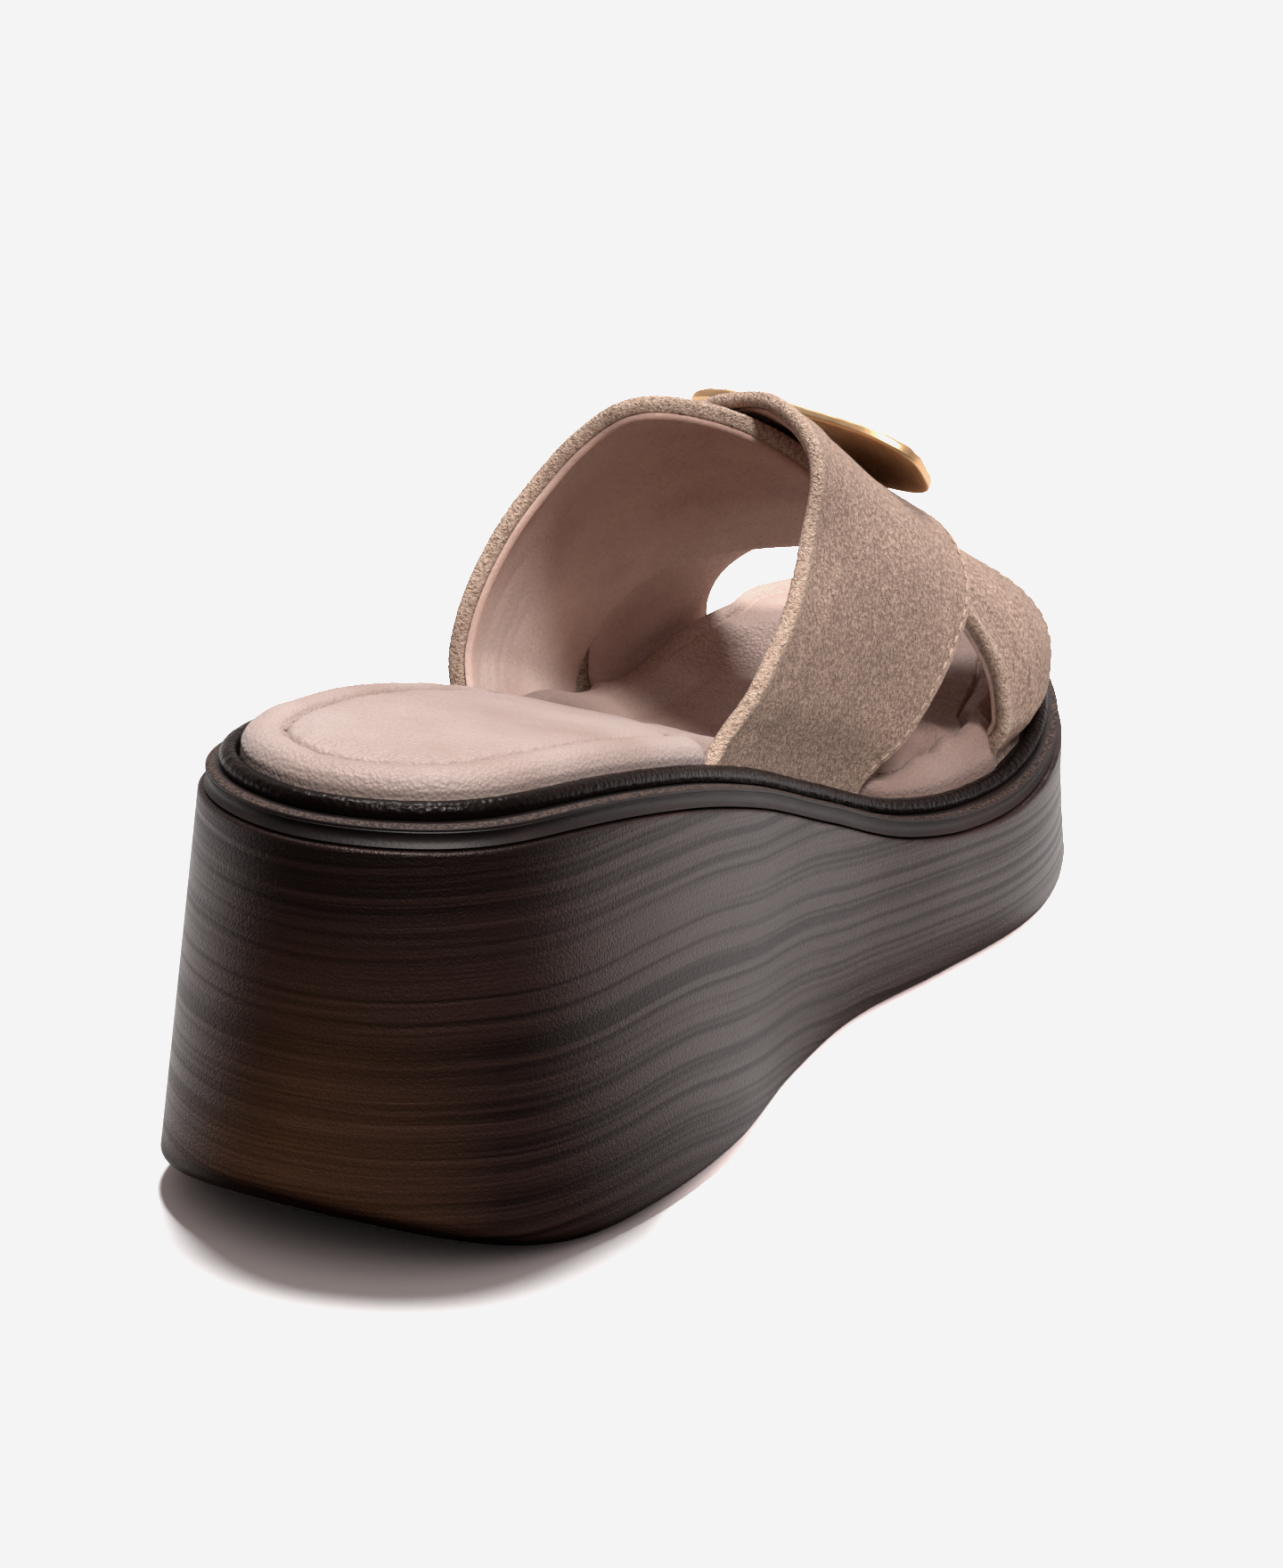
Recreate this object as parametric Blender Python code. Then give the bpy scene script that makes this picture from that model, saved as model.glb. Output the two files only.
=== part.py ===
"""Left platform slide: wedge sole, welt, rand, padded insole, crossed straps and a metal plate."""
import math
from collections import namedtuple

import bmesh
import bpy
import numpy as np

for thing in list(bpy.data.objects):
    bpy.data.objects.remove(thing, do_unlink=True)

# Driving dimensions, in millimetres. Along runs from the heel's back to the toe, height from the floor.
MM = 0.001
GAP = 0.3
SOLE_LENGTH = 250.0
LIP_BACK = 4.5
LIP_LENGTH = 240.0
HEEL_SPRING = 9.0
HEEL_FLAT_FROM = 40.0
TOE_SPRING = 8.0
TOE_FLAT_TO = 205.0
RING_POINTS = 80
INSOLE_POINTS = 120
EDGE_POINTS = 200
SHARP_ANGLE = math.radians(40)

# Plan of the sole: distance of each side from the last's axis at each station
Station = namedtuple("Station", "along lip_medial lip_lateral foot_medial foot_lateral")
STATIONS = (
    Station(20, 24.0, 26.5, 32.0, 31.0),
    Station(50, 31.5, 29.0, 39.0, 34.0),
    Station(80, 32.5, 29.0, 39.0, 34.5),
    Station(110, 31.0, 33.5, 34.5, 38.0),
    Station(140, 31.5, 39.0, 32.5, 43.0),
    Station(170, 36.5, 42.0, 36.0, 45.5),
    Station(200, 39.0, 42.0, 38.5, 45.0),
    Station(230, 26.5, 27.0, 33.0, 30.0),
)
LIP_ENDS = {"heel": 3.0, "toe": -4.0}
FOOT_ENDS = {"heel": 2.0, "toe": -4.0}

# Height of the lip above the floor: heel seat, waist, ball and toe
LipHeight = namedtuple("LipHeight", "along height")
LIP_HEIGHTS = (
    LipHeight(5, 68.0),
    LipHeight(35, 67.5),
    LipHeight(65, 62.5),
    LipHeight(95, 54.0),
    LipHeight(125, 43.0),
    LipHeight(155, 32.5),
    LipHeight(185, 29.5),
    LipHeight(215, 36.0),
    LipHeight(245, 40.0),
)

Profile = namedtuple("Profile", "inset height")

# Wedge: rounded edge at the foot, then a flared wall that stands out under the groove of the welt
FOOT_EDGE = (Profile(3.5, 0.0), Profile(1.0, 0.8), Profile(0.0, 3.0))
WALL_LEVELS = (0.25, 0.5, 0.75)
WALL_STEP = 1.0
GROOVE_DEPTH = 0.5
GROOVE_HEIGHT = 1.0

# Welt, rand and insole: profiles measured inwards and upwards from the lip
WELT_HEIGHT = 3.4
WELT_WIDTH = 7.5
WELT_PROFILE = (
    Profile(-0.1, -WELT_HEIGHT),
    Profile(0.6, -2.2),
    Profile(0.2, -1.1),
    Profile(0.0, -0.6),
    Profile(0.5, 0.0),
    Profile(WELT_WIDTH, 0.0),
    Profile(WELT_WIDTH, -WELT_HEIGHT),
)
RAND_INNER = 4.7
RAND_HEIGHT = 2.7
RAND_PROFILE = (
    Profile(2.2, GAP),
    Profile(1.9, 1.3),
    Profile(2.4, 2.3),
    Profile(3.3, RAND_HEIGHT),
    Profile(4.2, 2.5),
    Profile(4.55, 1.7),
    Profile(RAND_INNER, GAP),
)

# Insole: padded rim, stitched line and sunk panel; squeeze is how much a strap's foot presses a ring in
InsoleRing = namedtuple("InsoleRing", "inset height squeeze")
INSOLE_RINGS = (
    InsoleRing(6.6, GAP, 1.0),
    InsoleRing(5.2, 1.2, 1.0),
    InsoleRing(5.2, 2.9, 1.0),
    InsoleRing(4.9, 4.4, 1.0),
    InsoleRing(6.0, 6.6, 1.0),
    InsoleRing(9.5, 7.8, 0.8),
    InsoleRing(12.5, 7.2, 0.4),
    InsoleRing(15.0, 5.6, 0.1),
    InsoleRing(16.5, 6.1, 0.0),
    InsoleRing(23.0, 6.3, 0.0),
)
SQUEEZE_REACH = 11.0
SQUEEZE_FADE = 6.0

# Last: the foot's form under the straps, by section. Crown is the top of the instep.
STRAP_WALL = 3.0
STRAP_SLOT_INNER = 8.8
STRAP_FOOT = 0.7
BULGE_LOW_MEDIAL = 0.6
BULGE_LOW_LATERAL = 0.4
BULGE_START = 0.15
LastRow = namedtuple(
    "LastRow", "along crown_height crown_shift bulge_medial bulge_lateral full_medial full_lateral")
LAST = (
    LastRow(75, 109.0, 0.0, 3.0, 2.0, 2.3, 1.95),
    LastRow(110, 105.0, 0.0, 4.0, 2.0, 2.3, 1.95),
    LastRow(140, 97.0, -3.0, 5.0, 3.0, 2.25, 1.90),
    LastRow(170, 80.5, -5.0, 6.0, 3.0, 2.15, 1.85),
    LastRow(200, 64.0, -8.0, 5.0, 3.0, 2.25, 1.85),
    LastRow(230, 50.0, -8.0, 5.0, 3.0, 2.3, 1.85),
)

# Straps: where each edge lies along the last, from the medial foot (0) over the crown (0.5) to the lateral
StrapRow = namedtuple("StrapRow", "around rear front rear_lift front_lift")
OVER_STRAP = (
    StrapRow(0.0, 87.0, 147.0, 0.0, 0.0),
    StrapRow(0.08, 101.0, 157.0, 0.0, 0.3),
    StrapRow(0.15, 113.0, 165.0, 0.2, 1.0),
    StrapRow(0.24, 124.0, 175.0, 1.0, 2.0),
    StrapRow(0.33, 129.0, 182.0, 4.0, 2.3),
    StrapRow(0.42, 133.0, 188.0, 4.8, 2.4),
    StrapRow(0.5, 139.0, 193.0, 3.4, 2.4),
    StrapRow(0.66, 152.0, 200.0, 2.5, 2.3),
    StrapRow(0.77, 160.0, 204.0, 2.2, 2.0),
    StrapRow(0.86, 167.0, 209.0, 1.6, 1.2),
    StrapRow(0.95, 171.5, 212.5, 0.0, 0.0),
    StrapRow(1.0, 173.0, 214.0, 0.0, 0.0),
)
UNDER_STRAP = (
    StrapRow(0.0, 190.0, 215.0, 0.0, 0.0),
    StrapRow(0.08, 186.0, 216.0, 0.0, 0.0),
    StrapRow(0.16, 182.0, 216.0, 0.0, 0.0),
    StrapRow(0.23, 175.0, 215.0, 0.0, 0.0),
    StrapRow(0.35, 155.0, 212.0, 0.0, 0.0),
    StrapRow(0.45, 134.0, 208.0, 0.0, 0.0),
    StrapRow(0.52, 122.0, 205.0, 0.0, 0.0),
    StrapRow(0.66, 118.0, 200.0, 0.0, 0.0),
    StrapRow(0.73, 115.0, 190.0, 0.0, 0.0),
    StrapRow(0.80, 109.0, 177.0, 0.0, 0.0),
    StrapRow(0.89, 102.0, 170.0, 0.0, 0.0),
    StrapRow(1.0, 100.0, 165.0, 0.0, 0.0),
)
STRAP_RINGS = 45
STRAP_COLUMNS = 8
EDGE_ROUND = 1.6
EDGE_SHOULDER = 0.3
EDGE_THIN = 0.33

# Metal plate on the crossing: arched over the foot, with both ends in the air
PLATE_LENGTH = 43.5
PLATE_WIDTH = 22.0
PLATE_ALONG = 172.0
PLATE_ACROSS = 1.8
PLATE_SLOPE = math.radians(40)
PLATE_ARCH_RADIUS = 120.0
PLATE_ARCH_ACROSS = 8.0
PLATE_SQUARENESS = 3.2
PLATE_POINTS = 48
PLATE_TRIALS = 121
PLATE_PROFILE = (
    Profile(1.3, 0.0),
    Profile(0.3, 0.2),
    Profile(0.0, 0.7),
    Profile(0.1, 1.6),
    Profile(0.7, 2.1),
    Profile(1.6, 2.0),
    Profile(2.4, 1.4),
    Profile(3.2, 1.2),
)


def spline(knots, values, at):
    """Smooth curve through the knots: cubic pieces whose slopes come from the neighbours."""
    knots = np.asarray(knots, float)
    values = np.asarray(values, float)
    slopes = np.gradient(values, knots)
    low = np.clip(np.searchsorted(knots, at, side="right") - 1, 0, len(knots) - 2)
    span = knots[low + 1] - knots[low]
    part = np.clip((at - knots[low]) / span, 0.0, 1.0)
    rise = part * part * (3 - 2 * part)
    leave = part * (1 - part) ** 2 * span
    arrive = part * part * (part - 1) * span
    ends = values[low] * (1 - rise) + values[low + 1] * rise
    return ends + slopes[low] * leave + slopes[low + 1] * arrive


def column(rows, name):
    """One named column of a table of rows."""
    return [getattr(row, name) for row in rows]


def plan(back, length, medial, lateral, ends, angles):
    """Closed outline: angle 0 is the heel, half a turn the toe, with the medial side first."""
    along = np.array(column(STATIONS, "along"), float)
    turn = np.arccos(1 - 2 * (along - back) / length)
    medial = -np.array(column(STATIONS, medial))
    lateral = np.array(column(STATIONS, lateral))[::-1]
    loop = np.concatenate([[0.0], turn, [math.pi], 2 * math.pi - turn[::-1]])
    side = np.concatenate([[ends["heel"]], medial, [ends["toe"]], lateral])
    knots = np.concatenate([loop[-3:] - 2 * math.pi, loop, loop[:3] + 2 * math.pi])
    values = np.concatenate([side[-3:], side, side[:3]])
    angles = np.mod(angles, 2 * math.pi)
    return np.column_stack([back + length * (1 - np.cos(angles)) / 2, spline(knots, values, angles)])


def lip_plan(angles):
    return plan(LIP_BACK, LIP_LENGTH, "lip_medial", "lip_lateral", LIP_ENDS, angles)


def foot_plan(angles):
    return plan(0.0, SOLE_LENGTH, "foot_medial", "foot_lateral", FOOT_ENDS, angles)


def inset(outline, angles, distance):
    """Points of an outline moved inwards, square to it."""
    small = 0.01
    step = outline(angles + small) - outline(angles - small)
    step /= np.linalg.norm(step, axis=1)[:, None]
    inward = np.column_stack([-step[:, 1], step[:, 0]])
    return outline(angles) + inward * np.reshape(distance, (-1, 1))


def lip_height(along):
    return spline(column(LIP_HEIGHTS, "along"), column(LIP_HEIGHTS, "height"), along)


def foot_height(along):
    """Underside: flat under heel and forefoot, turned up at the heel's back and at the toe."""
    heel = np.clip(1 - along / HEEL_FLAT_FROM, 0, 1)
    toe = np.clip((along - TOE_FLAT_TO) / (SOLE_LENGTH - TOE_FLAT_TO), 0, 1)
    return HEEL_SPRING * heel ** 2 + TOE_SPRING * toe ** 2


def ring_angles(points):
    return np.arange(points) * 2 * math.pi / points


RING_ANGLES = ring_angles(RING_POINTS)
FOOT = foot_plan(RING_ANGLES)
CENTRE = np.array([SOLE_LENGTH / 2, (FOOT[:, 1].min() + FOOT[:, 1].max()) / 2, 0.0])


def material(name, colour, roughness, metallic=0.0):
    made = bpy.data.materials.new(name)
    made.use_nodes = True
    shader = made.node_tree.nodes["Principled BSDF"]
    shader.inputs["Base Color"].default_value = (*colour, 1.0)
    shader.inputs["Roughness"].default_value = roughness
    shader.inputs["Metallic"].default_value = metallic
    return made


def finish(name, points, faces, coat):
    """Mesh object in metres, with its origin under the middle of the sole."""
    mesh = bpy.data.meshes.new(name)
    mesh.from_pydata(((np.asarray(points) - CENTRE) * MM).tolist(), [], faces)
    shaping = bmesh.new()
    shaping.from_mesh(mesh)
    bmesh.ops.recalc_face_normals(shaping, faces=shaping.faces)
    shaping.to_mesh(mesh)
    shaping.free()
    mesh.shade_smooth()
    mesh.set_sharp_from_angle(angle=SHARP_ANGLE)
    mesh.materials.append(coat)
    made = bpy.data.objects.new(name, mesh)
    bpy.context.scene.collection.objects.link(made)
    return made


def bands(rings, count, closed):
    """Quads between neighbouring rings; a closed sweep also joins the last ring to the first."""
    faces = []
    for lower in range(rings if closed else rings - 1):
        upper = (lower + 1) % rings
        for i in range(count):
            j = (i + 1) % count
            faces.append((lower * count + i, lower * count + j, upper * count + j, upper * count + i))
    return faces


def ladder(first, count):
    """Closes a ring with rungs between the points that face each other across it."""
    faces = [(first, first + 1, first + count - 1)]
    half = count // 2
    for i in range(1, half - 1):
        faces.append((first + i, first + i + 1, first + count - i - 1, first + count - i))
    faces.append((first + half - 1, first + half, first + half + 1))
    return faces


def loft(name, rings, coat):
    """Solid through a stack of rings, closed at both ends."""
    count = len(rings[0])
    faces = bands(len(rings), count, False)
    faces += ladder(0, count)
    faces += ladder((len(rings) - 1) * count, count)
    return finish(name, np.concatenate(rings), faces, coat)


def level(flat, height):
    return np.column_stack([flat, height])


def lip_ring(distance, rise, angles=RING_ANGLES):
    """Ring set in from the lip and raised from it."""
    flat = inset(lip_plan, angles, distance)
    return level(flat, lip_height(flat[:, 0]) + rise)


def foot_ring(distance, rise):
    flat = inset(foot_plan, RING_ANGLES, distance)
    return level(flat, foot_height(flat[:, 0]) + rise)


def make_wedge_sole():
    """Wedge from a rounded foot edge up a flared wall to the groove and the rebate of the welt."""
    rings = [foot_ring(row.inset, row.height) for row in FOOT_EDGE]
    wall_foot = rings[-1]
    wall_top = lip_ring(-WALL_STEP, -WELT_HEIGHT - GROOVE_HEIGHT)
    for part in WALL_LEVELS:
        rings.append(wall_foot * (1 - part) + wall_top * part)
    rings.append(wall_top)
    rings.append(lip_ring(GROOVE_DEPTH - WALL_STEP, -WELT_HEIGHT - GAP))
    rings.append(lip_ring(WELT_WIDTH + GAP, -WELT_HEIGHT - GAP))
    rings.append(lip_ring(WELT_WIDTH + GAP, 0.0))
    return loft("wedge_sole", rings, material("wood_grain", (0.075, 0.045, 0.035), 0.45))


def make_strip(name, profile, coat):
    """Strip that runs round the whole sole with one section."""
    rings = [lip_ring(point.inset, point.height) for point in profile]
    faces = bands(len(rings), RING_POINTS, True)
    return finish(name, np.concatenate(rings), faces, coat)


def edge_line(distance, side, along):
    """Distance from the axis of the inset lip line on one side (-1 medial, 1 lateral)."""
    angles = np.linspace(0.02, 0.98, EDGE_POINTS) * math.pi
    if side > 0:
        angles = 2 * math.pi - angles
    line = inset(lip_plan, angles, distance)
    return np.interp(along, line[:, 0], line[:, 1])


def last_point(along, around):
    """Points of the last: around runs from 0 at the medial base to 1 at the lateral base."""
    stations = column(LAST, "along")
    read = {name: spline(stations, column(LAST, name), along) for name in LastRow._fields[1:]}
    medial = edge_line(STRAP_SLOT_INNER, -1, along)
    lateral = edge_line(STRAP_SLOT_INNER, 1, along)
    base = lip_height(along) + STRAP_FOOT
    turn = math.pi * around
    medial_half = around < 0.5
    power = 2 / np.where(medial_half, read["full_medial"], read["full_lateral"])
    swing = np.sign(np.cos(turn)) * np.abs(np.cos(turn)) ** power
    climb = np.abs(np.sin(turn)) ** power
    up_side = np.clip(1 - np.abs(2 * around - 1), 0, 1)
    low = np.where(medial_half, BULGE_LOW_MEDIAL, BULGE_LOW_LATERAL)
    start = np.clip(up_side / BULGE_START, 0, 1)
    bulge = np.where(medial_half, -read["bulge_medial"], read["bulge_lateral"])
    bulge = bulge * np.sin(math.pi * up_side ** low) * start * start * (3 - 2 * start)
    across = (medial + lateral) / 2 + (medial - lateral) / 2 * swing
    across = across + bulge + read["crown_shift"] * np.sin(turn) ** 2
    return np.column_stack([along, across, base + (read["crown_height"] - base) * climb])


def last_frame(along, around):
    """Points and outward normals of the last."""
    along = np.atleast_1d(along).astype(float)
    around = np.broadcast_to(around, along.shape)
    small = 0.004
    inside = np.clip(around, small, 1 - small)
    ahead = last_point(along + 0.5, around) - last_point(along - 0.5, around)
    over = last_point(along, inside + small) - last_point(along, inside - small)
    normal = np.cross(ahead, over)
    return last_point(along, around), normal / np.linalg.norm(normal, axis=1)[:, None]


def strap_section(rows, around):
    """Ring of one strap: out along its outer face and back along its lining, with round edges."""
    stations = column(rows, "around")
    read = {name: float(spline(stations, column(rows, name), around)) for name in StrapRow._fields[1:]}
    rear = read["rear"]
    width = read["front"] - rear
    inner = np.linspace(EDGE_ROUND, width - EDGE_ROUND, STRAP_COLUMNS)
    shoulder = EDGE_ROUND * EDGE_SHOULDER
    across = np.concatenate([[shoulder], inner, [width - shoulder]])
    depth = np.full(len(across), STRAP_WALL / 2)
    depth[[0, -1]] = STRAP_WALL * EDGE_THIN
    place = np.concatenate([[0.0], across, [width], across[::-1]])
    deep = np.concatenate([[0.0], depth, [0.0], -depth[::-1]])
    hump = (1 - place / width) ** 3
    lift = read["front_lift"] + (read["rear_lift"] - read["front_lift"]) * hump
    points, normals = last_frame(rear + place, around)
    return points + normals * (STRAP_WALL / 2 + lift + deep)[:, None]


def make_strap(name, rows, coat):
    """Strap from its medial foot over the last to its lateral foot."""
    rings = [strap_section(rows, around) for around in np.linspace(0, 1, STRAP_RINGS)]
    return loft(name, rings, coat)


def make_upper():
    """Both straps, fused where one crosses over the other."""
    suede = material("suede", (0.42, 0.31, 0.24), 0.9)
    upper = make_strap("upper", OVER_STRAP, suede)
    under = make_strap("under_strap", UNDER_STRAP, suede)
    under.hide_render = True
    under.display_type = "WIRE"
    join = upper.modifiers.new("cross", "BOOLEAN")
    join.operation = "UNION"
    join.object = under
    return upper


def strap_squeeze(along, side):
    """How far the insole is pressed in beside a strap's foot: 1 beside it, 0 well away from it."""
    foot = 0 if side < 0 else -1
    pressed = np.zeros_like(along)
    for rows in (OVER_STRAP, UNDER_STRAP):
        inside = np.minimum(along - rows[foot].rear, rows[foot].front - along) + SQUEEZE_REACH
        reach = np.clip(inside / SQUEEZE_FADE, 0, 1)
        pressed = np.maximum(pressed, reach * reach * (3 - 2 * reach))
    return pressed


def make_insole():
    """Padded footbed: bulging rim, then a stitched line and a sunk inner panel."""
    angles = ring_angles(INSOLE_POINTS)
    lip = lip_plan(angles)
    pressed = np.where(angles < math.pi, strap_squeeze(lip[:, 0], -1), strap_squeeze(lip[:, 0], 1))
    room = STRAP_SLOT_INNER + GAP - INSOLE_RINGS[1].inset
    rings = []
    for row in INSOLE_RINGS:
        rings.append(lip_ring(row.inset + room * row.squeeze * pressed, row.height, angles))
    return loft("insole", rings, material("nude_leather", (0.62, 0.43, 0.37), 0.5))


def plate_frame():
    """Point of the crown under the plate, with the plate's directions across, down the instep and up."""
    crown = float(spline(column(LAST, "along"), column(LAST, "crown_height"), PLATE_ALONG))
    down = np.array([math.cos(PLATE_SLOPE), 0.0, -math.sin(PLATE_SLOPE)])
    up = np.array([math.sin(PLATE_SLOPE), 0.0, math.cos(PLATE_SLOPE)])
    return np.array([PLATE_ALONG, PLATE_ACROSS, crown]), np.array([0.0, 1.0, 0.0]), down, up


def arch_drop(across):
    """How far the plate falls away from the top of its arch."""
    return (across + PLATE_ACROSS - PLATE_ARCH_ACROSS) ** 2 / (2 * PLATE_ARCH_RADIUS)


def plate_seat():
    """Height of the plate's underside over its middle, where it just clears the upper strap."""
    middle, across, down, up = plate_frame()
    seat = -math.inf
    for around in np.linspace(0, 1, PLATE_TRIALS):
        section = strap_section(OVER_STRAP, around) - middle
        side = np.abs(section @ across) / (PLATE_LENGTH / 2)
        fall = np.abs(section @ down) / (PLATE_WIDTH / 2)
        under = side ** PLATE_SQUARENESS + fall ** PLATE_SQUARENESS < 1
        if under.any():
            reach = section[under]
            seat = max(seat, float((reach @ up + arch_drop(reach @ across)).max()))
    return seat + GAP


def make_ornament():
    """Arched plate with round corners: smooth underside, raised rim and a sunk field."""
    middle, across, down, up = plate_frame()
    seat = plate_seat()
    turn = np.arange(PLATE_POINTS) * 2 * math.pi / PLATE_POINTS
    power = 2 / PLATE_SQUARENESS
    reach = np.sign(np.cos(turn)) * np.abs(np.cos(turn)) ** power
    spread = np.sign(np.sin(turn)) * np.abs(np.sin(turn)) ** power
    rings = []
    for row in PLATE_PROFILE:
        side = reach * (PLATE_LENGTH / 2 - row.inset)
        fall = spread * (PLATE_WIDTH / 2 - row.inset)
        rise = seat + row.height - arch_drop(side)
        rings.append(middle + np.outer(side, across) + np.outer(fall, down) + np.outer(rise, up))
    return loft("ornament", rings, material("gold_metal", (0.83, 0.58, 0.27), 0.25, 1.0))


make_wedge_sole()
make_strip("welt", WELT_PROFILE, material("welt_rubber", (0.035, 0.025, 0.024), 0.4))
make_strip("rand", RAND_PROFILE, material("rand_leather", (0.02, 0.014, 0.013), 0.25))
make_insole()
make_upper()
make_ornament()
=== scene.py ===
from collections import namedtuple
from math import cos, exp, inf, pi, radians, sin

import bpy
import numpy as np
from mathutils import Matrix, Vector, noise


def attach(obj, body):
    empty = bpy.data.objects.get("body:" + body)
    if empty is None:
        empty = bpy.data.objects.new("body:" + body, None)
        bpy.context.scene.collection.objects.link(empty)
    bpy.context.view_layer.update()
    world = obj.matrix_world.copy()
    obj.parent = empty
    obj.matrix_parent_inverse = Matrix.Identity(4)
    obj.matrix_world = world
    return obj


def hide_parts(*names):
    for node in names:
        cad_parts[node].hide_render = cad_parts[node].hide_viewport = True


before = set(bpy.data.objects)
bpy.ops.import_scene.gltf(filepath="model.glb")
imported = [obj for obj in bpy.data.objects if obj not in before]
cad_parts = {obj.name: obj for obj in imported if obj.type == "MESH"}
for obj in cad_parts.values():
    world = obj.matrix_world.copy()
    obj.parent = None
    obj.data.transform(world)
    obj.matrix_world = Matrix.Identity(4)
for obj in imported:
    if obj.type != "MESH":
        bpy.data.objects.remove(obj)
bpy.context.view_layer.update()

# Wedge sole: one moulded block from heel to toe, stained dark and grained like stacked wood.
# Its wall flares to the floor, turns in on a round edge below, and stands out under the welt's groove.
# Sizes are millimetres along the shoe from the heel's back, across from its axis, and up from the floor.
MM = 0.001
SEAT_GAP = 0.3
SOLE_LENGTH = 250.0
LIP_BACK = 4.5
LIP_LENGTH = 240.0
Station = namedtuple("Station", "along lip_medial lip_lateral foot_medial foot_lateral")


def table(kind, rows):
    return [kind(*row) for row in rows]


STATIONS = table(Station, (
    (20, 24.0, 26.5, 32.0, 31.0),
    (50, 31.5, 29.0, 39.0, 34.0),
    (80, 32.5, 29.0, 39.0, 34.5),
    (110, 31.0, 33.5, 34.5, 38.0),
    (140, 31.5, 39.0, 32.5, 43.0),
    (170, 36.5, 42.0, 36.0, 45.5),
    (200, 39.0, 42.0, 38.5, 45.0),
    (230, 26.5, 27.0, 33.0, 30.0),
))
LIP_ENDS = {"heel": 3.0, "toe": -4.0}
FOOT_ENDS = {"heel": 2.0, "toe": -4.0}
LipHeight = namedtuple("LipHeight", "along height")
LIP_HEIGHTS = table(LipHeight, (
    (5, 68.0), (35, 67.5), (65, 62.5), (95, 54.0), (125, 43.0), (155, 32.5), (185, 29.5),
    (215, 36.0), (245, 40.0),
))
HEEL_SPRING = 9.0
HEEL_FLAT_FROM = 40.0
TOE_SPRING = 8.0
TOE_FLAT_TO = 205.0
FOOT_EDGE_INSET = 3.5
FOOT_EDGE_HEIGHT = 3.0
WELT_HEIGHT = 3.4
WELT_WIDTH = 7.5
WALL_STEP = 1.0
GROOVE_DEPTH = 0.5
GROOVE_HEIGHT = 1.0
SOLE_POINTS = 320
SMOOTH_ANGLE = radians(55)
WELD_DISTANCE = 1e-6
EDGE_RINGS = 9
WALL_RINGS = 30
GROOVE_RINGS = 5
STRATA_SINK = 0.015
STRATA_DRIFT = 0.005
WOOD_DARK = (0.0052, 0.0023, 0.0017)
WOOD_MID = (0.0110, 0.0048, 0.0037)
WOOD_LIGHT = (0.0185, 0.0090, 0.0071)
WOOD_WARM = (0.120, 0.052, 0.024)


def soft_step(part):
    part = np.clip(part, 0, 1)
    return part * part * (3 - 2 * part)


def spline(knots, values, at):
    """Smooth curve through the knots: cubic pieces whose slopes come from the neighbours."""
    knots = np.asarray(knots, float)
    values = np.asarray(values, float)
    slopes = np.gradient(values, knots)
    low = np.clip(np.searchsorted(knots, at, side="right") - 1, 0, len(knots) - 2)
    span = knots[low + 1] - knots[low]
    part = np.clip((at - knots[low]) / span, 0.0, 1.0)
    rise = soft_step(part)
    leave = part * (1 - part) ** 2 * span
    arrive = part * part * (part - 1) * span
    ends = values[low] * (1 - rise) + values[low + 1] * rise
    return ends + slopes[low] * leave + slopes[low + 1] * arrive


def column(rows, name):
    return [getattr(row, name) for row in rows]


def table_curve(rows, name, at):
    """One column of a table as a smooth curve over its first column."""
    return spline(column(rows, rows[0]._fields[0]), column(rows, name), at)


def plan(back, length, medial, lateral, ends, angles):
    """Closed outline: angle 0 is the heel, half a turn the toe, with the medial side first."""
    along = np.array(column(STATIONS, "along"), float)
    turn = np.arccos(1 - 2 * (along - back) / length)
    medial = -np.array(column(STATIONS, medial))
    lateral = np.array(column(STATIONS, lateral))[::-1]
    loop = np.concatenate([[0.0], turn, [pi], 2 * pi - turn[::-1]])
    side = np.concatenate([[ends["heel"]], medial, [ends["toe"]], lateral])
    knots = np.concatenate([loop[-3:] - 2 * pi, loop, loop[:3] + 2 * pi])
    values = np.concatenate([side[-3:], side, side[:3]])
    angles = np.mod(angles, 2 * pi)
    return np.column_stack([back + length * (1 - np.cos(angles)) / 2, spline(knots, values, angles)])


def lip_plan(angles):
    return plan(LIP_BACK, LIP_LENGTH, "lip_medial", "lip_lateral", LIP_ENDS, angles)


def foot_plan(angles):
    return plan(0.0, SOLE_LENGTH, "foot_medial", "foot_lateral", FOOT_ENDS, angles)


def inset(outline, angles, distance):
    """Points of an outline moved inwards, square to it."""
    small = 0.01
    step = outline(angles + small) - outline(angles - small)
    step /= np.linalg.norm(step, axis=1)[:, None]
    inward = np.column_stack([-step[:, 1], step[:, 0]])
    return outline(angles) + inward * np.reshape(distance, (-1, 1))


def lip_height(along):
    return table_curve(LIP_HEIGHTS, "height", along)


def foot_height(along):
    heel = np.clip(1 - along / HEEL_FLAT_FROM, 0, 1)
    toe = np.clip((along - TOE_FLAT_TO) / (SOLE_LENGTH - TOE_FLAT_TO), 0, 1)
    return HEEL_SPRING * heel ** 2 + TOE_SPRING * toe ** 2


def ring_angles(points):
    return np.arange(points) * 2 * pi / points


def lip_ring(distance, rise, angles):
    flat = inset(lip_plan, angles, distance)
    return np.column_stack([flat, lip_height(flat[:, 0]) + rise])


def foot_ring(distance, rise, angles):
    flat = inset(foot_plan, angles, distance)
    return np.column_stack([flat, foot_height(flat[:, 0]) + rise])


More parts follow.
